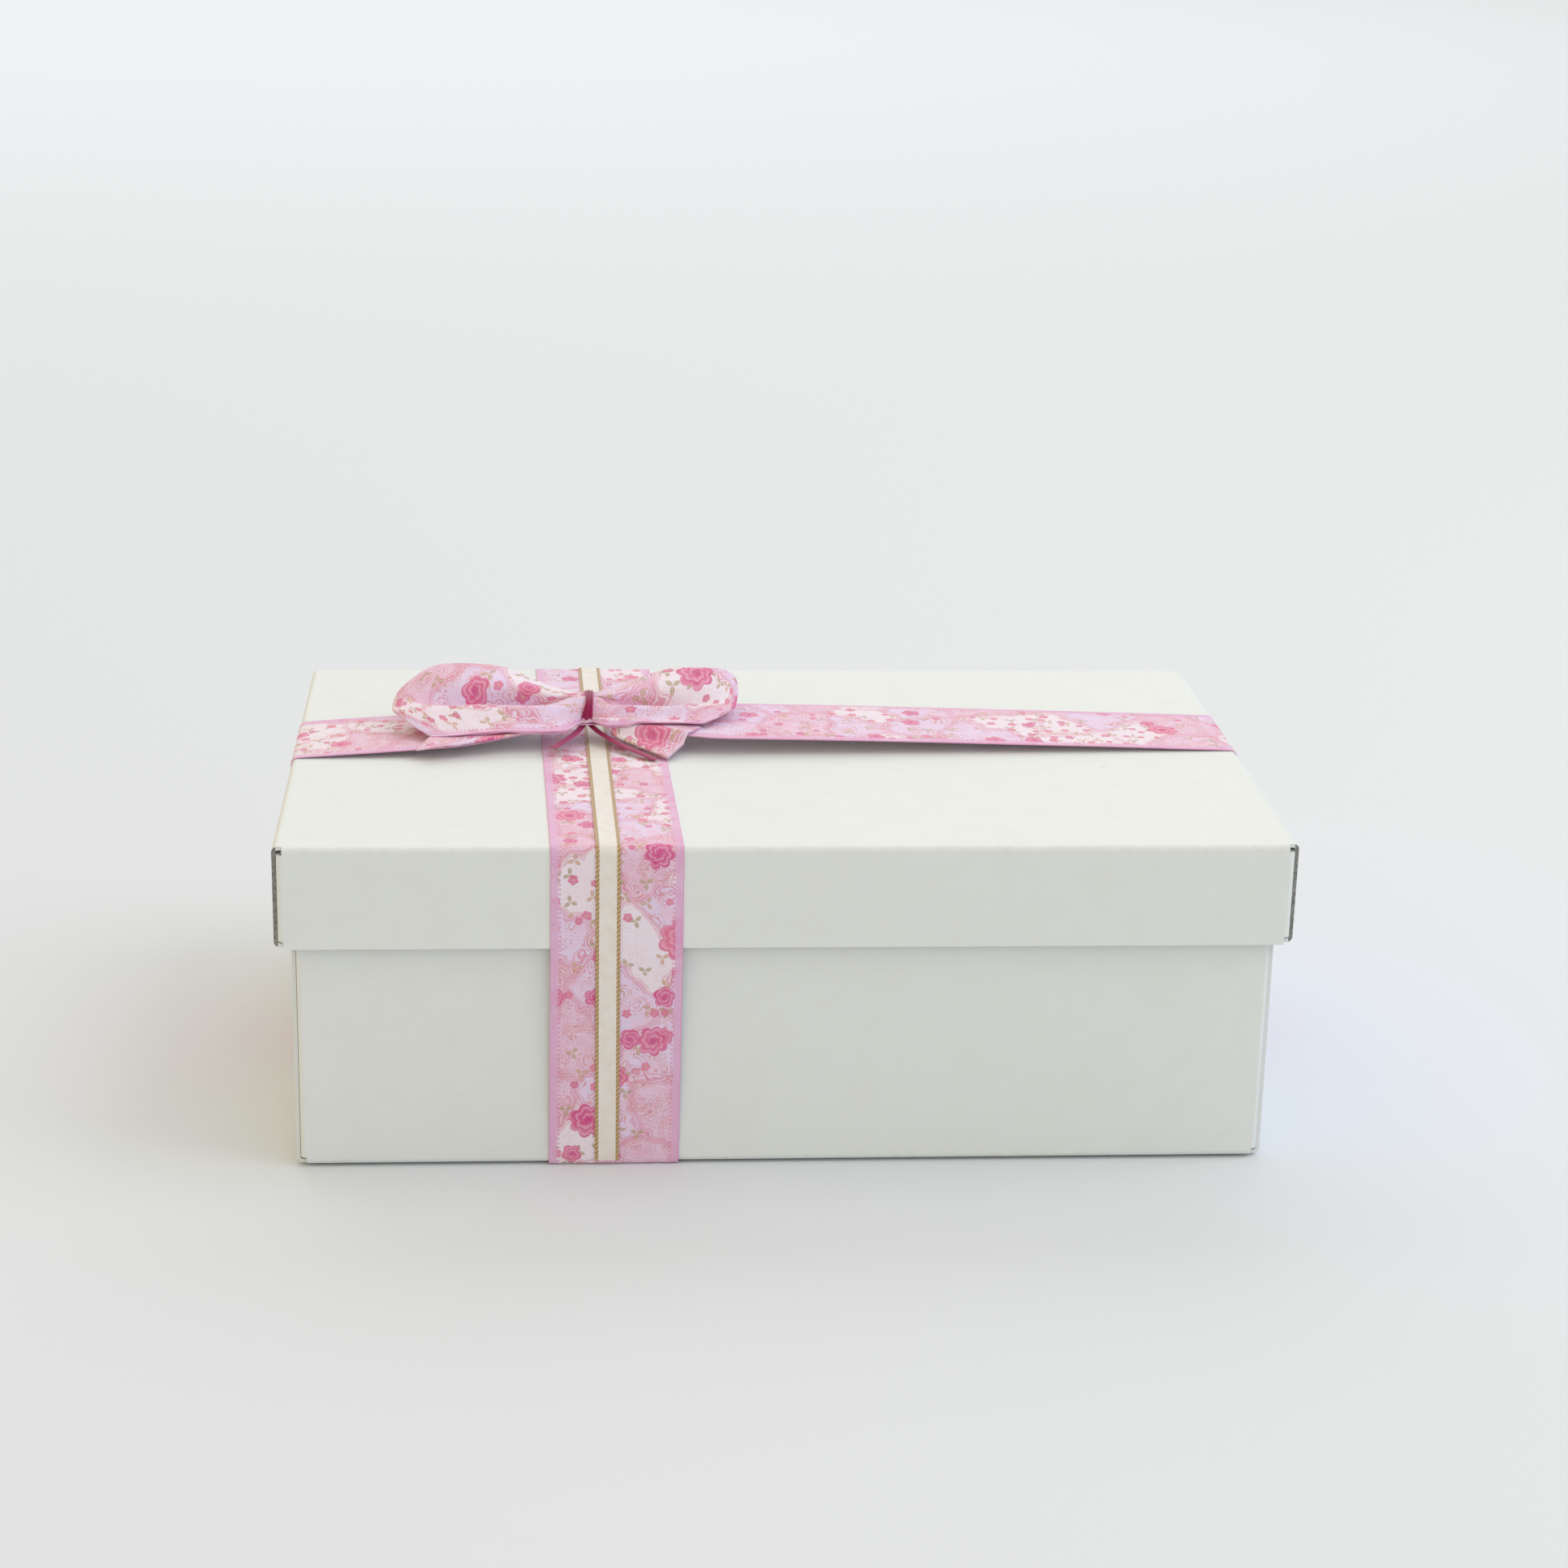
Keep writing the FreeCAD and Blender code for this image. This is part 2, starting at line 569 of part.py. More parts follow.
def oval(width, height, x):
    """An upright closed outline with round ends, in the plane across the bow."""
    radius = height / 2
    flat = width / 2 - radius
    top = [V(x, flat, radius), V(x, -flat, radius)]
    foot = [V(x, -flat, -radius), V(x, flat, -radius)]
    left = Part.Arc(top[1], V(x, -flat - radius, 0), foot[0]).toShape()
    right = Part.Arc(foot[1], V(x, flat + radius, 0), top[0]).toShape()
    return Part.Wire([Part.makeLine(*top), left, Part.makeLine(*foot), right])


def bow_tie():
    """The narrow ribbon wound round the bow and the length ribbon, with its two free ends."""
    wound = sheet.ribbon_thick + sheet.tail_gather + 2 * sheet.loop_gather + 3 * sheet.layer_gap
    height = wound + 2 * sheet.tie_gap
    width = max(sheet.pinch_width, sheet.waist_width) + 0.65 * height
    start = -sheet.tie_width / 2
    along = V(sheet.tie_width, 0, 0)
    wall = 2 * sheet.tie_thick
    around = Part.Face(oval(width + wall, height + wall, start)).extrude(along)
    within = Part.Face(oval(width, height, start)).extrude(along)
    ring = around.cut(within)
    low = -height / 2 - sheet.tie_thick / 2
    ends = [tie_end(sign, low) for sign in (-1, 1)]
    return add_solid("bow_tie", ring.fuse(ends), derived.knot_level - sheet.tie_gap + height / 2)


def tie_end(sign, low):
    """One free end of the tie, from under the bow out to its near side."""
    stations = 6
    front = max(sheet.pinch_width, sheet.waist_width) / 2
    sections = []
    for n in range(stations + 1):
        step = n / stations
        heading = math.radians(blend(90, sheet.tie_end_angle, smooth(step * 1.5)))
        along = V(sign * math.cos(heading), -math.sin(heading), 0)
        beside = V(math.sin(heading), sign * math.cos(heading), 0) * (sheet.tie_width / 2)
        thick = blend(sheet.tie_thick, sheet.tie_end_thick, smooth(step * 3)) / 2
        if n == 0:
            middle = V(0, -front / 2, low)
        else:
            middle += along * (sheet.tie_end_reach / stations)
        rest = sheet.ribbon_thick + sheet.cream_thick + sheet.tie_end_thick
        fall = smooth(step) * (sheet.knot_lift - sheet.tie_gap - sheet.tie_thick / 2 - rest)
        up = V(0, 0, thick)
        spot = middle - V(0, 0, fall)
        sections.append([spot - beside + up, spot + beside + up, spot + beside - up, spot - beside - up])
    return loft(sections)


def add_solid(label, shape, level):
    """A shaped piece at the bow's place on the length ribbon."""
    item = doc.addObject("Part::Feature", label)
    item.Label = label
    item.Shape = shape
    item.Placement = FreeCAD.Placement(V(sheet.bow_offset, sheet.length_offset, level), FreeCAD.Rotation())
    return item


base = folded_tray("base_tray", "Sizes.base_length", "Sizes.base_width", "Sizes.base_depth",
                   "Sizes.base_tab", "Sizes.base_tab_slope", z="Derived.ground_gap")
lid = folded_tray("lid", "Derived.lid_length", "Derived.lid_width", "Sizes.lid_depth",
                  "Sizes.lid_tab", "Sizes.lid_tab_slope", z="Derived.lid_top")
lid.Placement.Rotation = FreeCAD.Rotation(V(1, 0, 0), 180)
pieces = [base, lid, cross_ribbon_upper(), cross_ribbon_lower(), cream_ribbon_upper(), cream_ribbon_lower(),
          length_ribbon_upper(), length_ribbon_lower(), bow_loops(), bow_tails(), bow_tie()]
doc.recompute()

for item in doc.Objects:
    if "Invalid" in item.State or "Error" in item.State:
        raise RuntimeError(f"{item.Label} did not build: {item.State}")

os.makedirs("parts", exist_ok=True)
for piece in pieces:
    shape = piece.Shape
    if shape.isNull() or not shape.isValid():
        raise RuntimeError(f"{piece.Label} has no valid shape")
    shape.exportStep(f"parts/{piece.Label}.step")
    print(f"{piece.Label}: {len(shape.Solids)} solid, {shape.Volume / 1000:.2f} cm3, {shape.BoundBox}")
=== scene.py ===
import math

import bmesh
import bpy
from bpy.props import FloatProperty, FloatVectorProperty, PointerProperty
from mathutils import Matrix, Vector, noise


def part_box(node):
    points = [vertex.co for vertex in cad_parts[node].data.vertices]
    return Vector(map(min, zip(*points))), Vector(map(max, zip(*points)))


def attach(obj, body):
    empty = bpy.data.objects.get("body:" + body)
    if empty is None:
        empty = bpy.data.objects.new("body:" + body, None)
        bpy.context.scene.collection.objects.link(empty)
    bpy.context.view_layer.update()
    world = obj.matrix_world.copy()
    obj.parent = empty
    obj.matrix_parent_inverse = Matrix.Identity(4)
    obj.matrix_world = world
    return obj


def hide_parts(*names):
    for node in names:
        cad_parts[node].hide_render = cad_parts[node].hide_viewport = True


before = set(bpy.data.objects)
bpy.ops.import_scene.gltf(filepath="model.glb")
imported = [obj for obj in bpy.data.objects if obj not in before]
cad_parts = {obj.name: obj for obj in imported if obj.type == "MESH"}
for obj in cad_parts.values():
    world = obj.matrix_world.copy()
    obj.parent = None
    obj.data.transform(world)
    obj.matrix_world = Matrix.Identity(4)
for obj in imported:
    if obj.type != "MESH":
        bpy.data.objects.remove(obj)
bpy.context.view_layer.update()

bl_info = {
    "name": "Gift Box",
    "version": (1, 0, 0),
    "blender": (4, 5, 0),
    "location": "View3D > Sidebar > Gift Box",
    "description": "A white board gift box wrapped with printed ribbon and topped with a bow",
    "category": "Object",
}

MM = 0.001
LID_LOW, LID_HIGH = (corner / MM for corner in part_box("lid"))
BASE_LOW, BASE_HIGH = (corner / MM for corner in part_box("base_tray"))
BOW_PLACE = Vector((-60.0, 15.0))
RIBBON_WIDTH = 40.0


def tone(red, green, blue):
    """A colour given as it shows on a screen, as the linear values that the shaders take."""
    shares = [value / 255 for value in (red, green, blue)]
    return tuple(s / 12.92 if s <= 0.04045 else ((s + 0.055) / 1.055) ** 2.4 for s in shares)


def colour(name, note, *shown):
    """A colour setting with its default as it shows on a screen."""
    return FloatVectorProperty(name=name, description=note, default=tone(*shown), subtype="COLOR",
                               min=0, max=1)


def length(name, note, default):
    """A length setting in metres."""
    return FloatProperty(name=name, description=note, default=default * MM, unit="LENGTH", precision=4)


def power(name, note, default):
    """A light's power setting in watts."""
    return FloatProperty(name=name, description=note, default=default, min=0, unit="POWER")


class GiftBoxBoard(bpy.types.PropertyGroup):
    """The finish of the folded board."""
    face: colour("Coated face", "White of the coated side", 232, 236, 234)
    back: colour("Uncoated back", "Pale grey of the side that is folded inward", 205, 203, 196)
    core: colour("Core", "Grey of a cut edge", 112, 110, 106)
    grime: colour("Handling marks", "Tint of scuffs and of worn folds", 196, 192, 180)


class GiftBoxRibbon(bpy.types.PropertyGroup):
    """Sizes of the ribbons."""
    width: length("Printed ribbon", "Width of the printed ribbon", RIBBON_WIDTH)
    thick: length("Printed thickness", "Thickness of the printed ribbon", 0.35)
    cream_width: length("Cream ribbon", "Width of the cream ribbon", 7.4)
    cream_thick: length("Cream thickness", "Thickness of the cream ribbon", 0.25)
    stitch: length("Edge stitch", "Spacing of the stitches along the cream ribbon's edges", 1.5)
    tie_width: length("Tie ribbon", "Width of the tie's narrow ribbon", 3.0)


class GiftBoxPrint(bpy.types.PropertyGroup):
    """Colours of the printed, cream and tie ribbons."""
    lavender: colour("Lavender ground", "Ground of the scrolled patches", 234, 216, 245)
    blush: colour("Blush ground", "Ground of the warm patches", 239, 199, 219)
    white: colour("White ground", "Ground of the blossom patches", 245, 238, 247)
    scroll: colour("Scrolls", "Fine scrolled lines", 222, 138, 162)
    tan: colour("Tan", "Seed heads and some scrolls", 214, 164, 134)
    leaf: colour("Leaf", "Leaves and stems", 168, 154, 104)
    rose: colour("Rose", "Lighter blossoms", 230, 104, 142)
    magenta: colour("Magenta", "Deeper blossoms", 208, 40, 132)
    petal: colour("Petal light", "Light rims of the petals", 246, 192, 216)
    selvedge: colour("Selvedge", "Woven edge bands", 229, 180, 219)
    cream: colour("Cream", "Face of the cream ribbon", 240, 237, 231)
    gold: colour("Gold thread", "Stitched edges of the cream ribbon", 212, 178, 128)
    tie: colour("Tie", "Narrow magenta ribbon", 178, 8, 96)


class GiftBoxStage(bpy.types.PropertyGroup):
    """The floor and the light."""
    floor: colour("Floor", "Pale floor", 227, 231, 236)
    key_power: power("Key light", "Power of the soft light", 9.7)
    fill: FloatProperty(name="Fill", description="Strength of the light from all round", default=0.79, min=0)
    wash_power: power("Backdrop light", "Power of the light on the far floor", 78.0)


def settings(name):
    """One group of the scene's gift box settings."""
    return getattr(bpy.context.scene, f"gift_box_{name}")


class Pen:
    """Short calls for the nodes of one node tree."""

    def __init__(self, tree):
        self.tree = tree

    def feed(self, node, inputs):
        """Link each named input of a node, or give it its value."""
        for key, value in inputs.items():
            if isinstance(value, bpy.types.NodeSocket):
                self.tree.links.new(value, node.inputs[key])
            else:
                node.inputs[key].default_value = value

    def node(self, kind, inputs=None, **options):
        """A node with its options set and its inputs fed."""
        made = self.tree.nodes.new(f"ShaderNode{kind}")
        for option, value in options.items():
            setattr(made, option, value)
        self.feed(made, inputs or {})
        return made

    def math(self, operation, *values):
        return self.node("Math", dict(enumerate(values)), operation=operation).outputs[0]

    def times(self, first, second):
        return self.math("MULTIPLY", first, second)

    def minus(self, first, second):
        return self.math("SUBTRACT", first, second)

    def line(self, value, slope, start):
        """A value times a slope, added to a start."""
        return self.math("MULTIPLY_ADD", value, slope, start)

    def size(self, value):
        """A value without its sign."""
        return self.math("ABSOLUTE", value)

    def ramp(self, value, start, end, low=0.0, high=1.0):
        """A smooth rise from low to high as value goes from start to end."""
        inputs = {"Value": value, "From Min": start, "From Max": end, "To Min": low, "To Max": high}
        return self.node("MapRange", inputs, interpolation_type="SMOOTHSTEP").outputs[0]

    def mix(self, share, first, second):
        """A colour between two others."""
        ends = {0: share, 6: self.opaque(first), 7: self.opaque(second)}
        return self.node("Mix", ends, data_type="RGBA").outputs[2]

    def lay(self, shown, ink, mask, strength):
        """A colour with an ink laid over it where the mask is, at a strength."""
        return self.mix(self.times(mask, strength), shown, ink)

    def opaque(self, value):
        """A colour with its alpha, or the socket that brings one."""
        return value if isinstance(value, bpy.types.NodeSocket) else (*value[:3], 1.0)

    def vector(self, operation, *values):
        return self.node("VectorMath", dict(enumerate(values)), operation=operation).outputs[0]

    def scaled(self, value, share):
        return self.node("VectorMath", {0: value, "Scale": share}, operation="SCALE").outputs[0]

    def parts(self, value):
        """The three parts of a vector or colour."""
        return self.node("SeparateXYZ", {0: value}).outputs[:]

    def noise(self, spot, scale, detail=2.0, roughness=0.5):
        inputs = {"Vector": spot, "Scale": scale, "Detail": detail, "Roughness": roughness}
        return self.node("TexNoise", inputs).outputs["Fac"]

    def group(self, tree, **inputs):
        """A shared effect placed in this tree with its own values."""
        return self.node("Group", inputs, node_tree=tree).outputs


def effect(name, inputs, outputs, build):
    """A shader node group, built once, from its named inputs with defaults and its named outputs."""
    if name in bpy.data.node_groups:
        return bpy.data.node_groups[name]
    tree = bpy.data.node_groups.new(name, "ShaderNodeTree")
    for label, default in inputs.items():
        kind = "NodeSocketVector" if default is None else "NodeSocketFloat"
        socket = tree.interface.new_socket(label, in_out="INPUT", socket_type=kind)
        if default is not None:
            socket.default_value = default
    for label in outputs:
        tree.interface.new_socket(label, in_out="OUTPUT", socket_type="NodeSocketFloat")
    source = tree.nodes.new("NodeGroupInput")
    sink = tree.nodes.new("NodeGroupOutput")
    for label, socket in build(Pen(tree), source.outputs).items():
        tree.links.new(socket, sink.inputs[label])
    return tree


SEED_STEPS = (7.31, 3.17)
SCATTER = 0.72


def scattered(pen, given):
    """The distance and angle from the nearest of many scattered places, and that place's chances."""
    spot, cell, seed = given["Vector"], given["Cell"], given["Seed"]
    offset = pen.node("CombineXYZ", {axis: pen.times(seed, step) for axis, step in enumerate(SEED_STEPS)})
    grid = pen.vector("ADD", pen.scaled(spot, pen.math("DIVIDE", 1.0, cell)), offset.outputs[0])
    cells = pen.node("TexVoronoi", {"Vector": grid, "Scale": 1.0, "Randomness": SCATTER},
                     voronoi_dimensions="2D")
    local = pen.scaled(pen.vector("SUBTRACT", grid, cells.outputs["Position"]), cell)
    x, y, _ = pen.parts(local)
    reach = pen.math("SQRT", pen.math("ADD", pen.times(x, x), pen.times(y, y)))
    chances = pen.parts(cells.outputs["Color"])
    turned = pen.line(chances[1], math.tau, pen.math("ARCTAN2", y, x))
    return reach, turned, chances


def blossom_effect():
    """Round blossoms: their mask, folds, hearts and rims, and a chance for their colour."""

    def build(pen, given):
        reach, turned, chances = scattered(pen, given)
        size = pen.times(given["Radius"], pen.line(chances[2], 0.35, 0.68))
        lobes = pen.size(pen.math("COSINE", pen.times(turned, given["Petals"])))
        outer = pen.times(size, pen.line(lobes, 0.24, 0.76))
        edge = pen.math("DIVIDE", reach, outer)
        kept = pen.math("LESS_THAN", chances[0], given["Share"])
        mask = pen.times(pen.ramp(edge, 1.04, 0.94), kept)
        fold = pen.math("FRACT", pen.line(edge, 2.6, pen.times(turned, 2 / math.tau)))
        chance = pen.math("FRACT", pen.times(chances[2], 9.7))
        return {"Mask": mask, "Fold": pen.ramp(fold, 0.25, 1.0), "Heart": pen.ramp(edge, 0.32, 0.2),
                "Rim": pen.ramp(edge, 0.8, 0.98), "Chance": chance}

    inputs = {"Vector": None, "Cell": 10.0, "Radius": 3.0, "Share": 0.6, "Petals": 2.5, "Seed": 1.0}
    return effect("blossoms", inputs, ("Mask", "Fold", "Heart", "Rim", "Chance"), build)


def sprig_effect():
    """Sprigs of three leaves: their mask, their midribs and a chance for their colour."""

    def build(pen, given):
        reach, turned, chances = scattered(pen, given)
        third = math.tau / 3
        around = pen.minus(pen.math("FLOORED_MODULO", turned, third), third / 2)
        out = pen.times(reach, pen.math("COSINE", around))
        beside = pen.size(pen.times(reach, pen.math("SINE", around)))
        along = pen.math("DIVIDE", out, given["Length"])
        middle = pen.line(along, 2.0, -1.0)
        swell = pen.minus(1.0, pen.times(middle, middle))
        width = pen.times(pen.times(given["Length"], 0.24), swell)
        kept = pen.math("LESS_THAN", chances[0], given["Share"])
        leaf = pen.ramp(pen.minus(beside, width), 0.06, -0.06)
        inside = pen.times(pen.math("GREATER_THAN", swell, 0.0), kept)
        return {"Mask": pen.times(leaf, inside), "Rib": pen.ramp(beside, 0.14, 0.05),
                "Chance": chances[2]}

    return effect("sprigs", {"Vector": None, "Cell": 8.0, "Length": 2.6, "Share": 0.6, "Seed": 1.0},
                  ("Mask", "Rib", "Chance"), build)


def scroll_effect():
    """Curled line work: spirals with a ring of dots round each."""

    def build(pen, given):
        reach, turned, chances = scattered(pen, given)
        sweep = pen.math("DIVIDE", turned, math.tau)
        phase = pen.math("FRACT", pen.minus(pen.math("DIVIDE", reach, given["Pitch"]), sweep))
        line = pen.ramp(pen.size(pen.minus(phase, 0.5)), 0.2, 0.11)
        size = pen.times(given["Cell"], pen.line(chances[2], 0.12, 0.24))
        within = pen.ramp(pen.minus(reach, size), 0.05, -0.05)
        ring = pen.size(pen.minus(pen.minus(reach, size), 0.55))
        beads = pen.ramp(pen.math("COSINE", pen.times(turned, 14.0)), 0.1, 0.6)
        dots = pen.times(pen.ramp(ring, 0.3, 0.18), beads)
        return {"Line": pen.math("MAXIMUM", pen.times(line, within), dots)}

    return effect("scrolls", {"Vector": None, "Cell": 9.0, "Pitch": 1.0, "Seed": 1.0}, ("Line",), build)


def weave_effect():
    """Plain weave: the height of its threads, and an uneven shade from thread to thread."""

    def build(pen, given):
        along, across, _ = pen.parts(given["Vector"])
        turn = pen.math("DIVIDE", math.tau, given["Pitch"])
        warp = pen.math("SINE", pen.times(across, turn))
        weft = pen.math("SINE", pen.times(along, turn))
        lengthwise = pen.vector("MULTIPLY", given["Vector"], (0.12, 3.0, 1.0))
        crosswise = pen.vector("MULTIPLY", given["Vector"], (3.0, 0.12, 1.0))
        slub = pen.line(pen.noise(lengthwise, 1.0), 0.5, pen.times(pen.noise(crosswise, 1.0), 0.5))
        over = pen.line(pen.times(warp, weft), 0.5, 0.5)
        return {"Height": pen.line(slub, 0.6, over), "Slub": slub}

    return effect("weave", {"Vector": None, "Pitch": 0.6}, ("Height", "Slub"), build)


SHEEN_ROUGHNESS = 0.4
THREADS = (0.3, 0.7)
PATCH_SIZE = 21.0
PATCH_WANDER = 9.0
WARM_PATCH, PALE_PATCH = 0.38, 0.68
PATCH_LINES = ((0.02, 0.7), (0.062, 0.5))
SMALL_BLOSSOM = 10.0
BAND_FROM, BAND_TO = 2.5, 2.2
DOT_ROW = 2.85
DOT_STEP = 1.5
BAND_RIB = 0.9
CREAM_RIB = 0.5
STITCH_FROM, STITCH_TO = 1.15, 0.95
GOLD_SHADE = (0.05, 0.035, 0.02)
TIE_SHADE = (0.06, 0.0, 0.025)


def new_material(name, roughness, sheen=0.0):
    """A material with its shader, and a pen for its nodes."""
    material = bpy.data.materials.new(name)
    material.use_nodes = True
    shader = material.node_tree.nodes["Principled BSDF"]
    pen = Pen(material.node_tree)
    pen.feed(shader, {"Roughness": roughness, "Sheen Weight": sheen, "Sheen Roughness": SHEEN_ROUGHNESS})
    return material, shader, pen


def cloth_spot(pen):
    """The place on the flat cloth in millimetres, along and across."""
    return pen.scaled(pen.node("UVMap", uv_map="cloth").outputs[0], 1 / MM)


def fine_relief(pen, height, distance, strength):
    """Small relief from a height that changes over the surface."""
    return pen.node("Bump", {"Height": height, "Distance": distance * MM, "Strength": strength}).outputs[0]


def by_thread(pen, weave, low=0.0, high=1.0):
    """A value that goes from low to high with the uneven shade of the threads."""
    return pen.ramp(weave["Slub"], *THREADS, low, high)


def printed_colour(pen, spot, inks):
    """The printed pattern: patches with scrolls, sprigs and blossoms."""
    wander = pen.node("TexNoise", {"Vector": spot, "Scale": 0.16, "Detail": 1.0}).outputs["Color"]
    wander = pen.scaled(pen.vector("SUBTRACT", wander, (0.5, 0.5, 0.5)), PATCH_WANDER)
    bent = pen.vector("ADD", spot, wander)
    patch = {"Vector": pen.scaled(bent, 1 / PATCH_SIZE), "Scale": 1.0}
    cells = pen.node("TexVoronoi", patch, voronoi_dimensions="2D")
    edges = pen.node("TexVoronoi", patch, voronoi_dimensions="2D", feature="DISTANCE_TO_EDGE")
    border = edges.outputs["Distance"]
    kind = pen.parts(cells.outputs["Color"])[0]
    warm = pen.times(pen.math("GREATER_THAN", kind, WARM_PATCH), pen.math("LESS_THAN", kind, PALE_PATCH))
    pale = pen.math("GREATER_THAN", kind, PALE_PATCH)
    cloud = pen.ramp(pen.noise(spot, 0.14, 3.0), 0.46, 0.66, 0.0, 0.6)
    shown = pen.mix(cloud, inks.lavender, inks.blush)
    shown = pen.lay(shown, inks.blush, warm, 0.55)
    shown = pen.lay(shown, inks.white, pale, 0.85)

    scrolls = pen.group(scroll_effect(), Vector=bent, Cell=7.4, Pitch=1.15, Seed=2.0)["Line"]
    fine = pen.group(scroll_effect(), Vector=spot, Cell=4.6, Pitch=0.8, Seed=5.0)["Line"]
    busy = pen.minus(1.0, pen.times(pale, 0.8))
    line_ink = pen.mix(pen.noise(spot, 0.2), inks.scroll, inks.tan)
    shown = pen.lay(shown, line_ink, pen.times(scrolls, busy), 0.8)
    shown = pen.lay(shown, inks.scroll, pen.times(fine, warm), 0.6)
    for place, strength in PATCH_LINES:
        outline = pen.ramp(pen.size(pen.minus(border, place)), 0.016, 0.007)
        shown = pen.lay(shown, inks.scroll, outline, strength)

    sprig_share = pen.line(pale, 0.55, 0.35)
    sprigs = pen.group(sprig_effect(), Vector=spot, Cell=6.8, Length=2.4, Share=sprig_share, Seed=3.0)
    leaf_ink = pen.mix(sprigs["Chance"], inks.leaf, inks.tan)
    leaf_ink = pen.lay(leaf_ink, inks.white, sprigs["Rib"], 0.5)
    shown = pen.lay(shown, leaf_ink, sprigs["Mask"], 0.85)

    blossoms = ((6.0, 1.7, pen.line(pale, 0.45, 0.2), 2.5, 1.0), (13.5, 3.6, 0.34, 2.5, 4.0),
                (31.0, 7.0, 0.4, 3.5, 6.0))
    for cell, radius, share, petals, seed in blossoms:
        flowers = pen.group(blossom_effect(), Vector=spot, Cell=cell, Radius=radius, Share=share,
                            Petals=petals, Seed=seed)
        ink = pen.mix(flowers["Chance"], inks.rose, inks.magenta)
        ink = pen.lay(ink, inks.petal, flowers["Fold"], 0.62)
        ink = pen.lay(ink, inks.magenta, flowers["Rim"], 0.35)
        ink = pen.mix(flowers["Heart"], ink, inks.tan if cell < SMALL_BLOSSOM else inks.magenta)
        shown = pen.lay(shown, ink, flowers["Mask"], 0.86)
    return shown


def edge_band(pen, spot, shown, inks, half):
    """The woven bands at both edges of the printed ribbon, each with a row of dots on its inner side."""
    along, across, _ = pen.parts(spot)
    inward = pen.minus(half, pen.size(across))
    beat = pen.math("COSINE", pen.times(along, math.tau / DOT_STEP))
    row = pen.ramp(pen.size(pen.minus(inward, DOT_ROW)), 0.4, 0.26)
    dots = pen.times(row, pen.ramp(beat, 0.0, 0.45))
    band = pen.ramp(inward, BAND_FROM, BAND_TO)
    ribs = pen.line(pen.math("SINE", pen.times(inward, math.tau / BAND_RIB)), 0.12, 0.82)
    deep = pen.mix(0.38, inks.selvedge, inks.magenta)
    shown = pen.mix(pen.times(band, ribs), shown, inks.selvedge)
    shown = pen.lay(shown, deep, dots, 0.75)
    return pen.mix(pen.ramp(inward, 0.45, 0.1, 0.0, 0.5), shown, deep), band


def printed_material(name, fade):
    """The printed ribbon's face, or its paler back."""
    inks = settings("print")
    material, shader, pen = new_material(name, 0.62, 0.25)
    spot = cloth_spot(pen)
    half = settings("ribbon").width / MM / 2
    shown, band = edge_band(pen, spot, printed_colour(pen, spot, inks), inks, half)
    weave = pen.group(weave_effect(), Vector=spot, Pitch=0.7)
    shown = pen.mix(fade, shown, inks.white)
    shown = pen.mix(by_thread(pen, weave, 0.16, 0.0), shown, inks.scroll)
    height = pen.line(band, 0.7, weave["Height"])
    pen.feed(shader, {"Base Color": shown, "Roughness": by_thread(pen, weave, 0.7, 0.54),
                      "Normal": fine_relief(pen, height, 0.06, 0.5)})
    return material


def cream_material():
    """The cream ribbon: a ribbed satin face, with painted shade in the grooves of its ribs, between two
    edges stitched with gold thread.
    """
    inks = settings("print")
    ribbon = settings("ribbon")
    material, shader, pen = new_material("cream_satin", 0.45, 0.3)
    spot = cloth_spot(pen)
    along, across, _ = pen.parts(spot)
    inward = pen.minus(ribbon.cream_width / MM / 2, pen.size(across))
    weave = pen.group(weave_effect(), Vector=spot, Pitch=0.45)
    ribs = pen.math("SINE", pen.times(across, math.tau / CREAM_RIB))
    cloudy = pen.ramp(pen.noise(spot, 0.25, 3.0), 0.35, 0.7, 0.0, 0.14)
    face = pen.mix(cloudy, inks.cream, inks.tan)
    # Painted shade: tan darkens the face in the grooves between the ribs, where the relief is low.
    face = pen.mix(pen.ramp(ribs, -1.0, 1.0, 0.08, 0.0), face, inks.tan)
    twist = pen.math("SINE", pen.times(pen.math("ADD", along, across), math.tau / (ribbon.stitch / MM)))
    thread = pen.mix(pen.ramp(twist, -0.6, 0.9), pen.mix(0.5, inks.gold, GOLD_SHADE), inks.gold)
    stitched = pen.ramp(inward, STITCH_FROM, STITCH_TO)
    height = pen.line(ribs, 0.25, weave["Height"])
    pen.feed(shader, {"Base Color": pen.mix(stitched, face, thread),
                      "Roughness": by_thread(pen, weave, 0.55, 0.38),
                      "Normal": fine_relief(pen, height, 0.05, 0.5)})
    return material


def tie_material():
    """The tie's magenta satin, with threads along it."""
    inks = settings("print")
    material, shader, pen = new_material("tie_satin", 0.4, 0.3)
    spot = cloth_spot(pen)
    weave = pen.group(weave_effect(), Vector=spot, Pitch=0.4)
    shown = pen.mix(by_thread(pen, weave), pen.mix(0.5, inks.tie, TIE_SHADE), inks.tie)
    shown = pen.mix(pen.ramp(pen.noise(spot, 0.5), 0.55, 0.75, 0.0, 0.1), shown, inks.rose)
    pen.feed(shader, {"Base Color": shown, "Roughness": by_thread(pen, weave, 0.5, 0.32),
                      "Normal": fine_relief(pen, weave["Height"], 0.06, 0.6)})
    return material


ROLLED_END = 3.6
COAT_FROM, COAT_TO = 0.75, 0.62
WORN_FROM, WORN_TO = 2.6, 0.9
FACING = (0.75, 0.9)
LID_CUT, BASE_CUT = 1.0, 0.06


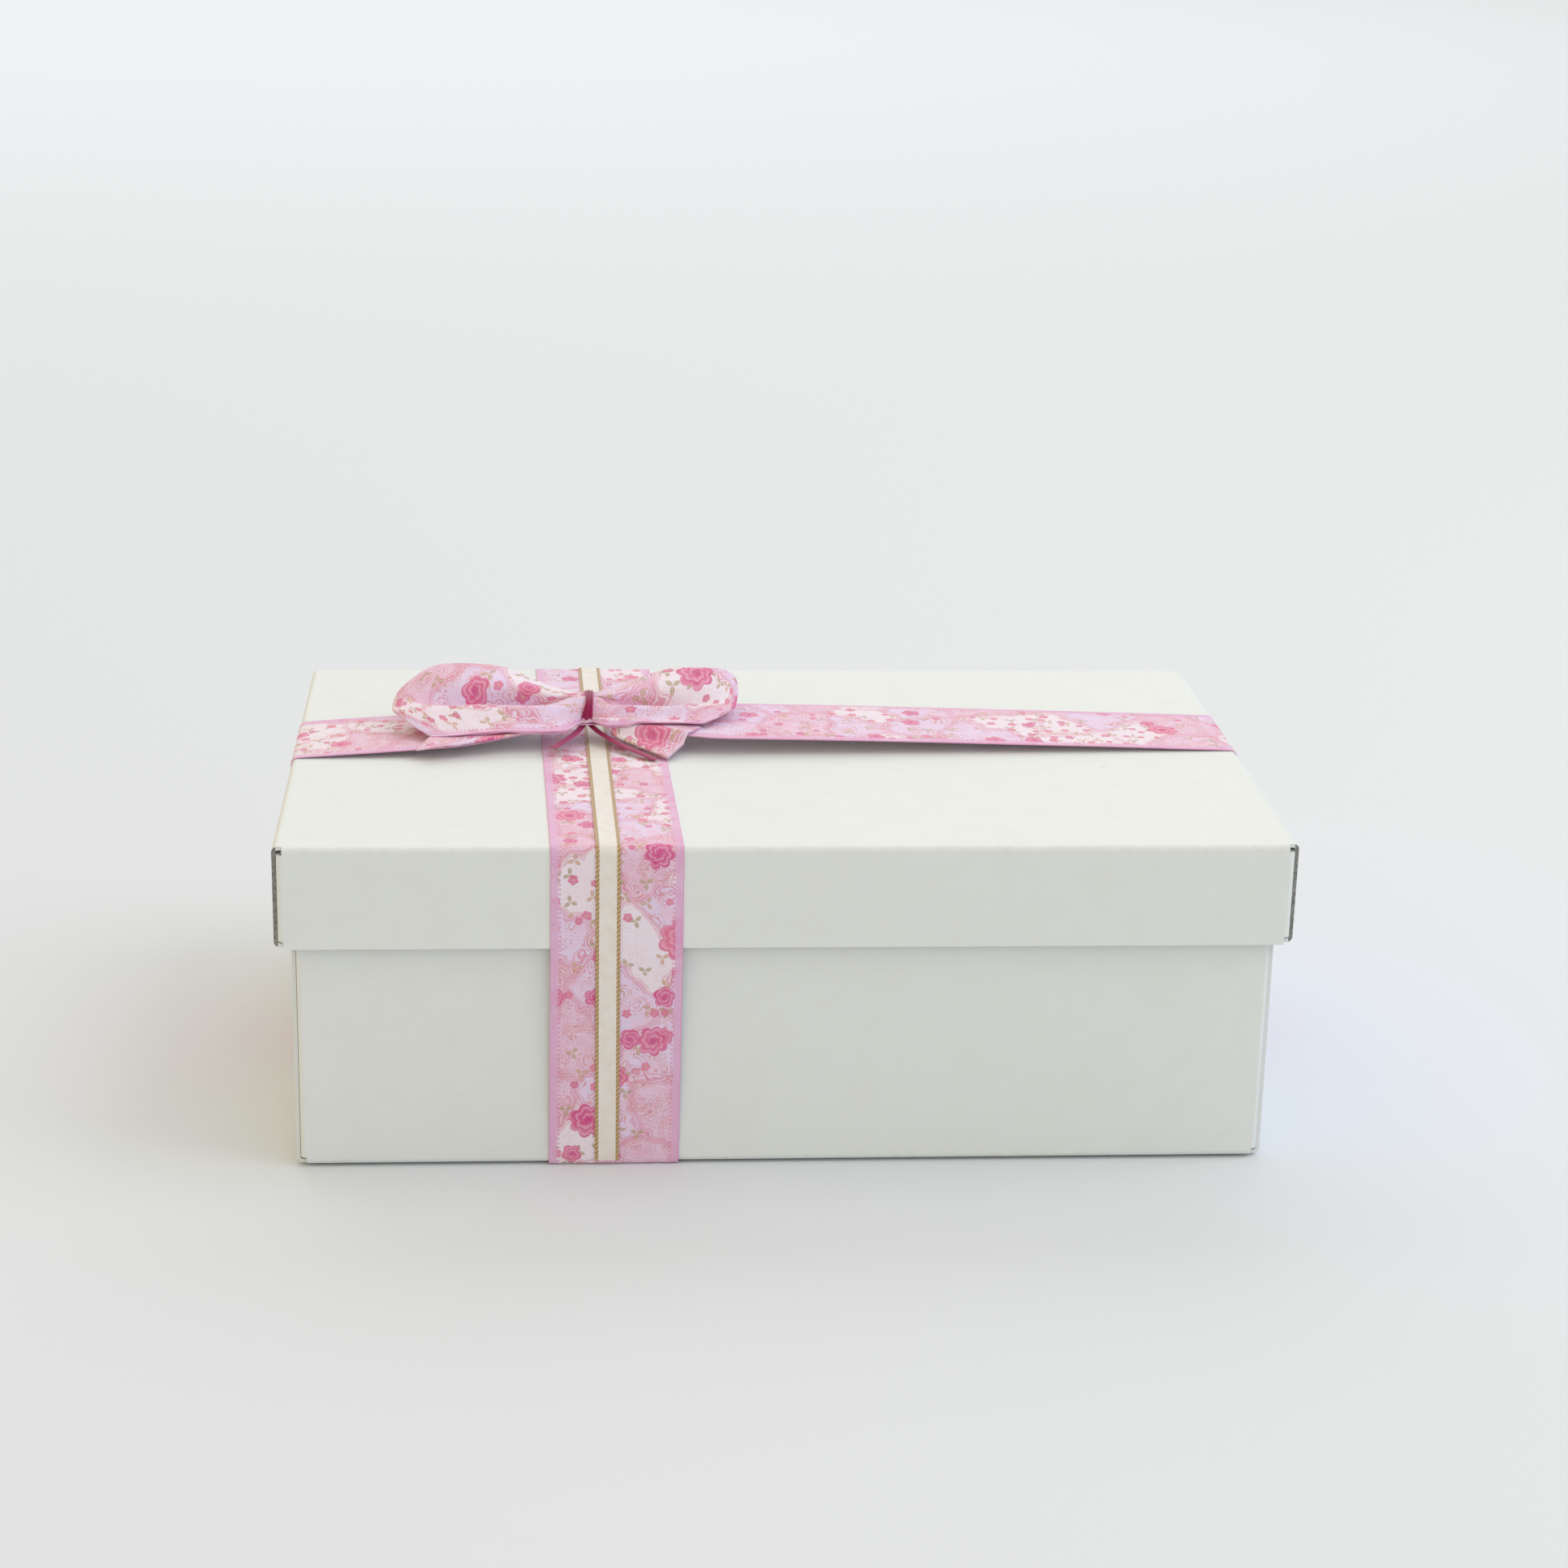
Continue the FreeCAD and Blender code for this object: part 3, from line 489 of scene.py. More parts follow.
def board_material(name, low, high, opens_down, cut_share):
    """The board of one half of the box: coated outside, duller inside, grey where cut, worn at its folds."""
    board = settings("board")
    material, shader, pen = new_material(name, 0.42)
    place = pen.scaled(pen.node("TexCoord").outputs["Object"], 1 / MM)
    x, y, z = pen.parts(place)
    turned = pen.parts(pen.node("NewGeometry").outputs["Normal"])
    from_end = pen.minus(high.x, pen.size(x))
    from_side = pen.minus(high.y, pen.size(y))
    from_top, from_foot = pen.minus(high.z, z), pen.minus(z, low.z)
    from_face, from_rim = (from_top, from_foot) if opens_down else (from_foot, from_top)

    skin = pen.math("MINIMUM", from_side, pen.minus(from_end, ROLLED_END))
    skin = pen.math("MINIMUM", from_face, skin)
    coated = pen.ramp(skin, COAT_FROM, COAT_TO)
    mottle = pen.noise(place, 0.09, 4.0, 0.6)
    shown = pen.mix(coated, board.back, board.face)
    shown = pen.mix(pen.ramp(mottle, 0.4, 0.75, 0.0, 0.06), shown, board.grime)

    nearest = pen.math("ADD", pen.math("MAXIMUM", from_side, 0.0), pen.math("MAXIMUM", from_face, 0.0))
    nearest = pen.math("MINIMUM", nearest, pen.math("ADD", from_end, from_face))
    worn = pen.ramp(pen.noise(place, 0.35, 4.0), 0.35, 0.7)
    fold = pen.times(pen.ramp(nearest, WORN_FROM, WORN_TO), worn)
    shown = pen.lay(shown, board.grime, fold, 0.15)

    panel_edge = pen.times(pen.ramp(pen.size(turned[1]), *FACING), pen.ramp(from_end, 1.35, 1.2))
    panel_edge = pen.times(panel_edge, pen.ramp(from_side, 1.6, 1.9))
    wall_edge = pen.times(pen.ramp(pen.size(turned[2]), *FACING), pen.ramp(from_rim, 0.12, 0.04))
    wall_edge = pen.times(wall_edge, pen.ramp(from_end, 3.4, 3.8))
    fibres = pen.noise(pen.vector("MULTIPLY", place, (1.0, 1.0, 0.4)), 2.2, 3.0)
    core = pen.mix(pen.ramp(fibres, 0.35, 0.65), board.core, pen.mix(0.35, board.core, board.back))
    shown = pen.lay(shown, core, pen.math("MAXIMUM", panel_edge, wall_edge), cut_share)

    scratch = pen.vector("MULTIPLY", place, (0.05, 0.05, 0.6))
    scuffs = pen.times(pen.ramp(pen.noise(scratch, 1.0, 5.0, 0.7), 0.66, 0.78),
                       pen.ramp(pen.noise(place, 0.02), 0.5, 0.62))
    shown = pen.lay(shown, board.grime, scuffs, 0.35)
    rough = pen.line(coated, -0.26, 0.8)
    rough = pen.math("ADD", rough, pen.times(pen.math("MAXIMUM", scuffs, fold), 0.16))
    rough = pen.line(pen.noise(place, 1.1), 0.12, rough)
    grain = pen.line(pen.noise(place, 3.2, 4.0, 0.65), 0.5, pen.noise(place, 0.05, 1.0))
    pen.feed(shader, {"Base Color": shown, "Roughness": rough,
                      "Normal": fine_relief(pen, grain, 0.05, 0.35)})
    return material


class FoldLine:
    """A line through corners in a plane, rounded at each fold, and the way out of the box along it."""

    def __init__(self, corners, radius):
        corners = [Vector(corner) for corner in corners]
        self.runs = []
        start = corners[0]
        for before, corner, after in zip(corners, corners[1:], corners[2:]):
            arrive = (corner - before).normalized()
            leave = (after - corner).normalized()
            turn = math.atan2(arrive.x * leave.y - arrive.y * leave.x, arrive.dot(leave))
            cut = radius * math.tan(abs(turn) / 2)
            entry = corner - arrive * cut
            self.runs.append((start, arrive, (entry - start).length, 0.0))
            self.runs.append((entry, arrive, radius * abs(turn), turn))
            start = corner + leave * cut
        last = corners[-1] - start
        self.runs.append((start, last.normalized(), last.length, 0.0))
        self.length = sum(run[2] for run in self.runs)

    def at(self, distance):
        """The point at a distance along the line, and the direction out of the box there."""
        for start, heading, span, turn in self.runs:
            if distance <= span:
                break
            distance -= span
        else:
            distance = span
        if not turn:
            return start + heading * distance, Vector((-heading.y, heading.x))
        angle = turn * distance / span
        side = math.copysign(1.0, turn)
        spoke = Vector((heading.y, -heading.x)) * side * (span / abs(turn))
        turned = Matrix.Rotation(angle, 2)
        ahead = turned @ heading
        return start - spoke + turned @ spoke, Vector((-ahead.y, ahead.x))


def smooth(value):
    """An even rise from 0 to 1, level at both ends."""
    value = min(max(value, 0.0), 1.0)
    return value * value * (3 - 2 * value)


def blend(first, last, share):
    """A value between two others."""
    return first + (last - first) * share


def through(knots, value):
    """A smooth curve through rising pairs of place and height."""
    for n in range(1, len(knots)):
        if value <= knots[n][0] or n == len(knots) - 1:
            break
    (x0, y0), (x1, y1) = knots[n - 1], knots[n]
    before = knots[max(n - 2, 0)]
    after = knots[min(n + 1, len(knots) - 1)]
    slope0 = (y1 - before[1]) / max(x1 - before[0], 1e-9)
    slope1 = (after[1] - y0) / max(after[0] - x0, 1e-9)
    span = x1 - x0
    t = (value - x0) / span
    return ((2 * t ** 3 - 3 * t ** 2 + 1) * y0 + (t ** 3 - 2 * t ** 2 + t) * span * slope0
            + (3 * t ** 2 - 2 * t ** 3) * y1 + (t ** 3 - t ** 2) * span * slope1)


def waver(x, y, size, seed):
    """A gentle unevenness between -1 and 1, of features about as long as size."""
    return noise.noise(Vector((x / size, y / size, seed * 3.7)))


def lay_sheet(name, run, width, cells, place, thick, finishes, start=0.0, rest=None):
    """A piece of woven ribbon: a flat grid carried to its place point by point, then given its thickness.

    The print begins at start. Where rest is given, the ribbon's ends meet halfway along the run, and the
    print past that join goes on from rest.
    """
    bm = bmesh.new()
    cloth = bm.loops.layers.uv.new("cloth")
    bmesh.ops.create_grid(bm, x_segments=cells[0], y_segments=cells[1], size=0.5)
    for face in bm.faces:
        face.smooth = True
        first = start if rest is None or face.calc_center_median().x < 0 else rest
        for loop in face.loops:
            flat = loop.vert.co
            loop[cloth].uv = ((first + (flat.x + 0.5) * run) * MM, flat.y * width * MM)
    for edge in bm.edges:
        edge.smooth = not edge.is_boundary
    for vert in bm.verts:
        vert.co = Vector(place((vert.co.x + 0.5) * run, vert.co.y * 2)) * MM
    mesh = bpy.data.meshes.new(name)
    bm.to_mesh(mesh)
    bm.free()
    piece = bpy.data.objects.new(name, mesh)
    bpy.context.scene.collection.objects.link(piece)
    for finish in finishes:
        mesh.materials.append(finish)
    solidify = piece.modifiers.new("Thickness", "SOLIDIFY")
    solidify.thickness = thick * MM
    solidify.offset = -1.0
    solidify.use_rim = True
    solidify.material_offset = len(finishes) - 1
    return piece


def finish_named(name, make):
    """A material by name, made the first time it is wanted."""
    return bpy.data.materials.get(name) or make()


def printed_finishes():
    """The printed ribbon's face and back."""
    return [finish_named("ribbon_print_face", lambda: printed_material("ribbon_print_face", 0.0)),
            finish_named("ribbon_print_back", lambda: printed_material("ribbon_print_back", 0.5))]


def lay_printed(name, run, cells, place, start, rest=None):
    """A piece of the printed ribbon."""
    ribbon = settings("ribbon")
    return lay_sheet(name, run, ribbon.width / MM, cells, place, ribbon.thick / MM, printed_finishes(),
                     start, rest)


def lay_bow(name, shape, run, cells, point):
    """A loop or tail of the bow, from the function that gives its points."""

    def place(distance, share):
        return point(shape, distance / run, share * shape["heading"])

    return lay_printed(name, run, cells, place, shape["start"])


def own(piece, body, slot, *nodes):
    """Carry a piece on a body and let it stand for its nodes. The slot is not used."""
    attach(piece, body)
    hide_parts(*nodes)


LID_TOP = LID_HIGH.z
RIM = LID_LOW.z
FOLD = 1.8
RIBBON_STEP = 1.2
WRAP = 0.4
FLOOR_GAP = 0.03
CROSS_START = 1742.0
LENGTH_START = 924.0
LENGTH_SKEW = 3.9
RIPPLE = 0.06
CREAM_GAP = 0.08
CREAM_FOOT = 0.9
BEAD_PLACE, BEAD_REACH, BEAD_HEIGHT = 0.55, 0.6, 0.26


def askew(middle, skew, lean):
    """How far along the box the middle of a ribbon lies, at each place across it and height up it."""
    return lambda y, z: middle - skew * y / LID_HIGH.y + lean * (1 - min(z, RIM) / RIM)


cross_drift = askew(-54.4, 2.15, -0.4)
cream_drift = askew(-56.4, 1.45, 0.15)


def length_drift(x):
    """How far back the middle of the length ribbon lies, which runs a little askew."""
    return BOW_PLACE.y + LENGTH_SKEW * x / LID_HIGH.x


def over_lid(half, lift):
    """The side view of a ribbon over the lid, from rim to rim."""
    out = half + lift
    top = LID_TOP + lift
    return FoldLine([(-out, RIM), (-out, top), (out, top), (out, RIM)], FOLD + lift)


def round_base(base_half, lid_half, lift, under):
    """The side view of a ribbon from the far rim down, under the base and up to the near rim."""
    foot = base_half + lift
    top = lid_half + lift
    return FoldLine([(top, RIM), (foot, under), (-foot, under), (-top, RIM)], FOLD)


CROSS_OVER = over_lid(LID_HIGH.y, WRAP)
CROSS_ROUND = round_base(BASE_HIGH.y, LID_HIGH.y, WRAP, 0.0)
LENGTH_OVER = over_lid(LID_HIGH.x, WRAP)
LENGTH_ROUND = round_base(BASE_HIGH.x, LID_HIGH.x, WRAP, WRAP)


def strip_across(name, line, drift, width, thick, grid, finishes, start, relief=None, rest=None):
    """A ribbon laid from front to back along a line in the plane across the box."""

    def place(distance, share):
        point, out = line.at(distance)
        x = drift(point.x, point.y) - share * width / 2
        lift = RIPPLE * waver(x, distance, 14.0, 1.0)
        if relief:
            lift += relief(distance, share)
        return x, point.x + out.x * lift, max(point.y + out.y * lift, FLOOR_GAP)

    step, columns = grid
    cells = (round(line.length / step), columns)
    return lay_sheet(name, line.length, width, cells, place, thick, finishes, start, rest)


class GIFTBOX_OT_board(bpy.types.Operator):
    """Give the lid and the base the finish of coated white board"""
    bl_idname = "giftbox.board"
    bl_label = "Board Finish"

    def execute(self, context):
        halves = (("lid", LID_LOW, LID_HIGH, True, LID_CUT),
                  ("base_tray", BASE_LOW, BASE_HIGH, False, BASE_CUT))
        for node, *shape in halves:
            finish = board_material(f"white_board_{node}", *shape)
            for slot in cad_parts[node].material_slots:
                slot.material = finish
        return {"FINISHED"}


class GIFTBOX_OT_cross_ribbon(bpy.types.Operator):
    """Wrap the printed ribbon from front to back round the box"""
    bl_idname = "giftbox.cross_ribbon"
    bl_label = "Cross Ribbon"

    def execute(self, context):
        ribbon = settings("ribbon")
        make = (cross_drift, ribbon.width / MM, ribbon.thick / MM, (RIBBON_STEP, 20), printed_finishes())
        top = strip_across("cross_ribbon_over_lid", CROSS_OVER, *make, CROSS_START)
        foot = strip_across("cross_ribbon_round_base", CROSS_ROUND, *make, CROSS_START + CROSS_OVER.length,
                            rest=CROSS_START - CROSS_ROUND.length)
        own(top, "lid", "printed_ribbon", "cross_ribbon_upper")
        own(foot, "base", "printed_ribbon", "cross_ribbon_lower")
        return {"FINISHED"}


class GIFTBOX_OT_cream_ribbon(bpy.types.Operator):
    """Lay the cream ribbon with its stitched edges on the cross ribbon"""
    bl_idname = "giftbox.cream_ribbon"
    bl_label = "Cream Ribbon"

    def execute(self, context):
        ribbon = settings("ribbon")
        width = ribbon.cream_width / MM
        thick = ribbon.cream_thick / MM
        pitch = ribbon.stitch / MM
        finishes = [finish_named("cream_satin", cream_material)]

        def beads(distance, share):
            inward = (1 - abs(share)) * width / 2
            edge = max(0.0, 1 - abs(inward - BEAD_PLACE) / BEAD_REACH)
            return BEAD_HEIGHT * math.sqrt(edge) * (0.75 + 0.25 * math.cos(math.tau * distance / pitch))

        make = (cream_drift, width, thick, (0.5, 22), finishes)
        lift = WRAP + thick + CREAM_GAP
        upper = over_lid(LID_HIGH.y, lift)
        top = strip_across("cream_ribbon_over_lid", upper, *make, 0.0, beads)
        own(top, "lid", "cream_ribbon", "cream_ribbon_upper")
        foot_level = BASE_LOW.z + CREAM_FOOT
        lean = (LID_HIGH.y - BASE_HIGH.y) * foot_level / RIM
        for name, sign in (("front", -1), ("back", 1)):
            ends = [(sign * (BASE_HIGH.y + lean + lift), foot_level), (sign * (LID_HIGH.y + lift), RIM)]
            line = FoldLine(ends if sign < 0 else ends[::-1], FOLD)
            start = -line.length if sign < 0 else upper.length
            drop = strip_across(f"cream_ribbon_{name}", line, *make, start, beads)
            own(drop, "base", "cream_ribbon", "cream_ribbon_lower")
        return {"FINISHED"}


TENT_PEAK, TENT_CROWN = 7.0, 0.9
TENT_PLEATS, TENT_PLEAT_HEIGHT, TENT_RIPPLE, TENT_EDGE_FALL = 11.0, 0.45, 0.07, 0.5
GATHER_KEEP, GATHER_FULL, GATHER_REACH = 0.34, 0.66, 46


def tent(x):
    """How far the length ribbon stands off the lid where the bow draws it up."""
    half = LID_HIGH.x
    if x < BOW_PLACE.x:
        return TENT_PEAK * max(0.0, (x + half) / (BOW_PLACE.x + half))
    share = min(1.0, (x - BOW_PLACE.x) / (half - BOW_PLACE.x))
    return TENT_PEAK * (1 - share) + TENT_CROWN * math.sin(math.pi * share)


def gathered(x):
    """The share of its width that the length ribbon keeps where the tie gathers it."""
    return blend(GATHER_KEEP, 1.0, smooth(abs(x - BOW_PLACE.x) / GATHER_REACH))


class GIFTBOX_OT_length_ribbon(bpy.types.Operator):
    """Wrap the printed ribbon from left to right round the box, drawn up under the bow"""
    bl_idname = "giftbox.length_ribbon"
    bl_label = "Length Ribbon"

    def execute(self, context):
        width = settings("ribbon").width / MM

        def over(distance, share):
            point, out = LENGTH_OVER.at(distance)
            x = point.x
            keep = gathered(x)
            spread = (1 - keep) / GATHER_FULL
            rise = tent(x) if out.y > 0.5 else tent(math.copysign(LID_HIGH.x, x))
            pleats = spread * TENT_PLEAT_HEIGHT * math.cos(share * TENT_PLEATS + 0.6)
            lift = TENT_RIPPLE * waver(distance, share * 20, 16.0, 2.0)
            y = length_drift(x) + share * width / 2 * keep
            edge_fall = TENT_EDGE_FALL * (1 - spread) * smooth(rise / 4) * share ** 4
            return x + out.x * lift, y, point.y + out.y * (rise + pleats + lift - edge_fall)

        def under(distance, share):
            point, out = LENGTH_ROUND.at(distance)
            lift = RIPPLE * waver(distance, share * 20, 16.0, 3.0)
            y = length_drift(point.x) + share * width / 2
            return point.x + out.x * lift, y, point.y + out.y * lift

        run = LENGTH_OVER.length
        cells = (round(run / RIBBON_STEP), 26)
        top = lay_printed("length_ribbon_over_lid", run, cells, over, LENGTH_START)
        own(top, "lid", "printed_ribbon", "length_ribbon_upper")
        below = LENGTH_ROUND.length
        cells = (round(below / RIBBON_STEP), 20)
        foot = lay_printed("length_ribbon_round_base", below, cells, under, LENGTH_START + run,
                           rest=LENGTH_START - below)
        own(foot, "base", "printed_ribbon", "length_ribbon_lower")
        return {"FINISHED"}


LOOPS = {
    "left": {
        "heading": -1, "far_lift": 5.4, "near_reach": 17.5, "run": 128.0, "fall": 1.5, "start": 1875.0,
        "reach": ((-1.0, 50.0), (-0.6, 58.0), (-0.2, 63.0), (0.25, 63.0), (0.6, 56.5), (1.0, 47.5)),
        "top": ((-1.0, 5.4), (-0.62, 10.2), (-0.32, 13.2), (0.05, 13.8), (0.45, 18.2), (0.72, 19.4),
                (1.0, 15.8)),
        "under": ((-1.0, 4.7), (-0.75, 5.9), (-0.5, 6.5), (0.0, 6.8), (1.0, 8.6)),
    },
    "right": {
        "heading": 1, "far_lift": 2.6, "near_reach": 12.5, "run": 103.0, "fall": 8.0, "start": 1350.0,
        "reach": ((-1.0, 38.0), (-0.6, 43.5), (-0.2, 48.0), (0.3, 50.5), (0.7, 50.5), (1.0, 48.0)),
        "top": ((-1.0, 8.2), (-0.62, 10.2), (-0.32, 12.6), (0.05, 13.4), (0.45, 17.6), (0.72, 19.0),
                (1.0, 16.0)),
        "under": ((-1.0, 7.2), (-0.75, 7.3), (-0.5, 7.3), (0.0, 7.1), (1.0, 8.6)),
    },
}
FAR_REACH = 20.0
LOOP_REST = 1.45
LOOP_GAP = 0.8
TIE_HEIGHT = ((-1.0, 7.6), (-0.6, 10.4), (-0.2, 13.4), (0.2, 14.4), (1.0, 13.4))
TIE_OFFSET = ((-1.0, -7.0), (-0.6, -7.2), (-0.2, -4.6), (0.2, 0.6), (1.0, 6.6))
TIE_UNDER = ((-1.0, 7.0), (0.0, 9.0), (1.0, 9.4))
SETTLE, END_LEVEL, END_BLUNT = (0.12, 0.44), (0.46, 0.62), (4.0, 9.0)
PRESSED_FROM, PRESSED_SPAN = 0.3, 0.42
CREASE_PLACE, CREASE_WIDTH, CREASE_DEPTH = 0.03, 0.19, 6.2
PULL_PLACE, PULL_WIDTH, PULL_REACH = 0.3, 0.16, 3.4
LOOP_PLEATS, PLEAT_HEIGHT = 15.0, 0.6
LOOP_WRINKLE, LOOP_SWAY = 0.7, 0.5


def bell(value, middle, width):
    """A rise to 1 at the middle that dies away on both sides."""
    return math.exp(-((value - middle) / width) ** 2)


def loop_point(loop, turn, share):
    """A point on one loop, as turn goes from the tie on top (0), round the end (0.5) and back below (1)."""
    above = turn <= 0.5
    step = 2 * turn if above else 2 - 2 * turn
    sweep = math.sin(math.pi / 2 * step)
    far = max(0.0, share)
    x = BOW_PLACE.x + loop["heading"] * through(loop["reach"], share) * sweep
    settle = smooth(step / blend(*SETTLE, (share + 1) / 2))
    widest = FAR_REACH if share > 0 else loop["near_reach"]
    y = BOW_PLACE.y + blend(through(TIE_OFFSET, share), share * widest, settle)
    pressed = (1 - smooth((step - PRESSED_FROM) / PRESSED_SPAN)) * smooth(step / 0.1)
    crease = bell(share, CREASE_PLACE, CREASE_WIDTH) * pressed
    y -= PULL_REACH * bell(share, PULL_PLACE, PULL_WIDTH) * pressed
    top = through(loop["top"], share) + loop["far_lift"] * smooth(step) * far - CREASE_DEPTH * crease
    under = through(loop["under"], share)
    pleat = (1 - smooth(step / 0.6)) * PLEAT_HEIGHT
    pleat *= math.cos(share * LOOP_PLEATS + (0.4 if above else 1.7))
    top = blend(through(TIE_HEIGHT, share), top, settle) + pleat * (0.5 + 0.5 * settle)
    under = blend(through(TIE_UNDER, share), under, settle) + pleat * 0.3
    under = blend(under, max(under, drape(x, y, LOOP_REST, loop["fall"])), settle)
    top = blend(top, max(top, under + LOOP_GAP), settle)
    end = blend(under, top, blend(*END_LEVEL, far))
    full = math.sqrt(max(0.0, 1 - sweep ** blend(*END_BLUNT, far)))
    wrinkle = LOOP_WRINKLE * waver(x, y * 0.6, 11.0, 4.0 if above else 6.0) * smooth(step * 2)
    z = end + ((top - end) if above else (under - end)) * full + wrinkle * full
    return x, y + LOOP_SWAY * waver(x, z, 9.0, 8.0) * settle, LID_TOP + z


class GIFTBOX_OT_bow_loops(bpy.types.Operator):
    """Make the bow's left and right loops"""
    bl_idname = "giftbox.bow_loops"
    bl_label = "Bow Loops"

    def execute(self, context):
        for side, loop in LOOPS.items():
            piece = lay_bow(f"bow_loop_{side}", loop, loop["run"], (96, 44), loop_point)
            own(piece, "lid", "printed_ribbon", "bow_loops")
        return {"FINISHED"}


FALL_REACH = 7


def drape(x, y, gap, fall):
    """Height above the lid of cloth that lies on the length ribbon and sinks past its near edge."""
    near = length_drift(x) - RIBBON_WIDTH / 2 * gathered(x)
    return WRAP + tent(x) + gap - fall * smooth((near - y) / FALL_REACH)


TAILS = {
    "left": {"near": ((-61.0, 8.6, 6.6), (-84.0, -3.0, 5.4), (-115.0, -13.0, 4.0)),
             "far": ((-61.0, 20.0, 7.6), (-84.0, 13.5, 6.4), (-108.0, 5.5, 4.8)),
             "start": 2139.0, "fall": 1.5, "heading": -1},
    "right": {"near": ((-59.0, 9.0, 6.2), (-47.0, -1.6, 3.4), (-34.4, -13.4, 1.5)),
              "far": ((-59.0, 19.0, 7.6), (-41.0, 12.5, 7.6), (-22.6, 2.4, 6.0)),
              "start": 693.0, "fall": 8.0, "heading": 1},
}
TAIL_GAP = 0.42
TAIL_REST = TAIL_GAP + 0.1
TAIL_BULGE, TAIL_WRINKLE = 1.6, 0.3
TAIL_PLEATS, TAIL_PLEAT_HEIGHT = 13.0, 0.25
FOLD_SHARE = 0.05
ARC_STEPS = 24


def bend_through(points, share):
    """A point on the smooth arc from the first point to the last past the middle one."""
    first, middle, last = (Vector(point) for point in points)
    pull = middle * 2 - (first + last) / 2
    return first * (1 - share) ** 2 + pull * 2 * share * (1 - share) + last * share ** 2


def arc_length(points):
    """How long that arc is."""
    spots = [bend_through(points, step / ARC_STEPS) for step in range(ARC_STEPS + 1)]
    return sum((after - before).length for before, after in zip(spots, spots[1:]))


def tail_cut(tail):
    """The longer edge of a tail's slanted cut, and the mean of its two edges."""
    near, far = arc_length(tail["near"]), arc_length(tail["far"])
    return max(near, far), (near + far) / 2


def tail_point(tail, along, share):
    """A point on one tail, which is folded double along its near edge and lies on the length ribbon."""
    depth = abs(share)
    spot = bend_through(tail["near"], along).lerp(bend_through(tail["far"], along), depth)
    loose = smooth(along / 0.5)
    pleat = (1 - loose) * TAIL_PLEAT_HEIGHT * (1 + math.cos(depth * TAIL_PLEATS))
    bulge = TAIL_BULGE * loose * depth * (1 - depth)
    z = max(spot.z + bulge, drape(spot.x, spot.y, TAIL_REST, tail["fall"]))
    z += pleat + TAIL_WRINKLE * waver(spot.x, spot.y, 10.0, 12.0) * loose
    turned = min(depth / FOLD_SHARE, 1.0)
    layer = math.copysign(TAIL_GAP, share) * math.sqrt(turned * (2 - turned))
    return spot.x, spot.y, LID_TOP + z + layer


class GIFTBOX_OT_bow_tails(bpy.types.Operator):
    """Make the bow's two tails"""
    bl_idname = "giftbox.bow_tails"
    bl_label = "Bow Tails"

    def execute(self, context):
        for side, tail in TAILS.items():
            piece = lay_bow(f"bow_tail_{side}", tail, tail_cut(tail)[0], (46, 48), tail_point)
            own(piece, "lid", "printed_ribbon", "bow_tails")
        return {"FINISHED"}


RING_RUN, RING_HALF, RING_THICK = 56.0, 8.1, 0.5
RING_DROP, RING_SINK = 1.35, 0.6
RING_SHIFT, RING_LEAN, RING_RIDGE = 0.4, 0.7, 0.28
ROUNDNESS = 0.75
END_RUN, END_THICK, END_START = 26.0, 0.3, 80.0
END_NEARBY = 0.02


class GIFTBOX_OT_bow_tie(bpy.types.Operator):
    """Wind the narrow magenta ribbon round the bow and lead its two ends out"""
    bl_idname = "giftbox.bow_tie"
    bl_label = "Bow Tie"

    def execute(self, context):
        width = settings("ribbon").tie_width / MM
        finishes = [finish_named("tie_satin", tie_material)]
        top = (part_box("bow_tie")[1] / MM).z - LID_TOP - RING_DROP
        foot = tent(BOW_PLACE.x) - RING_SINK
        middle = (top + foot) / 2
        tall = (top - foot) / 2

        def rounded(value):
            return math.copysign(abs(value) ** ROUNDNESS, value)

        def wound(distance, share):
            angle = math.tau * distance / RING_RUN
            across, up = rounded(math.cos(angle)), rounded(math.sin(angle))
            pinch = blend(1.15, 0.55, smooth((up + 1) / 2))
            ridge = RING_RIDGE * math.cos(share * 5.2)
            return (BOW_PLACE.x + RING_SHIFT + RING_LEAN * up + share * width / 2 * pinch,
                    BOW_PLACE.y + across * (RING_HALF + ridge), LID_TOP + middle + up * (tall + ridge))

        ring = lay_sheet("bow_tie_wound", RING_RUN, width, (72, 12), wound, RING_THICK, finishes)
        own(ring, "lid", "tie_ribbon", "bow_tie")
        ends = {"left": ((-60.6, 11.0, foot), (-63.6, 3.0, 5.0), (-71.2, -8.6, 3.4)),
                "right": ((-59.4, 11.0, foot), (-52.5, 1.0, 3.6), (-37.6, -13.6, 1.0))}
        for side, points in ends.items():

            def trail(distance, share, points=points):
                along = distance / END_RUN
                spot = bend_through(points, along)
                ahead = (bend_through(points, min(along + END_NEARBY, 1.0))
                         - bend_through(points, max(along - END_NEARBY, 0.0)))
                beside = Vector((ahead.y, -ahead.x, 0)).normalized()
                curl = 0.3 * (1 - share * share) + 0.25 * waver(spot.x, spot.y, 5.0, 20.0)
                place = spot + beside * (share * width / 2 * blend(0.6, 0.85, along)) + Vector((0, 0, curl))
                return place.x, place.y, LID_TOP + place.z

            piece = lay_sheet(f"bow_tie_end_{side}", END_RUN, width, (40, 10), trail, END_THICK, finishes,
                              END_START)
            own(piece, "lid", "tie_ribbon", "bow_tie")
        return {"FINISHED"}


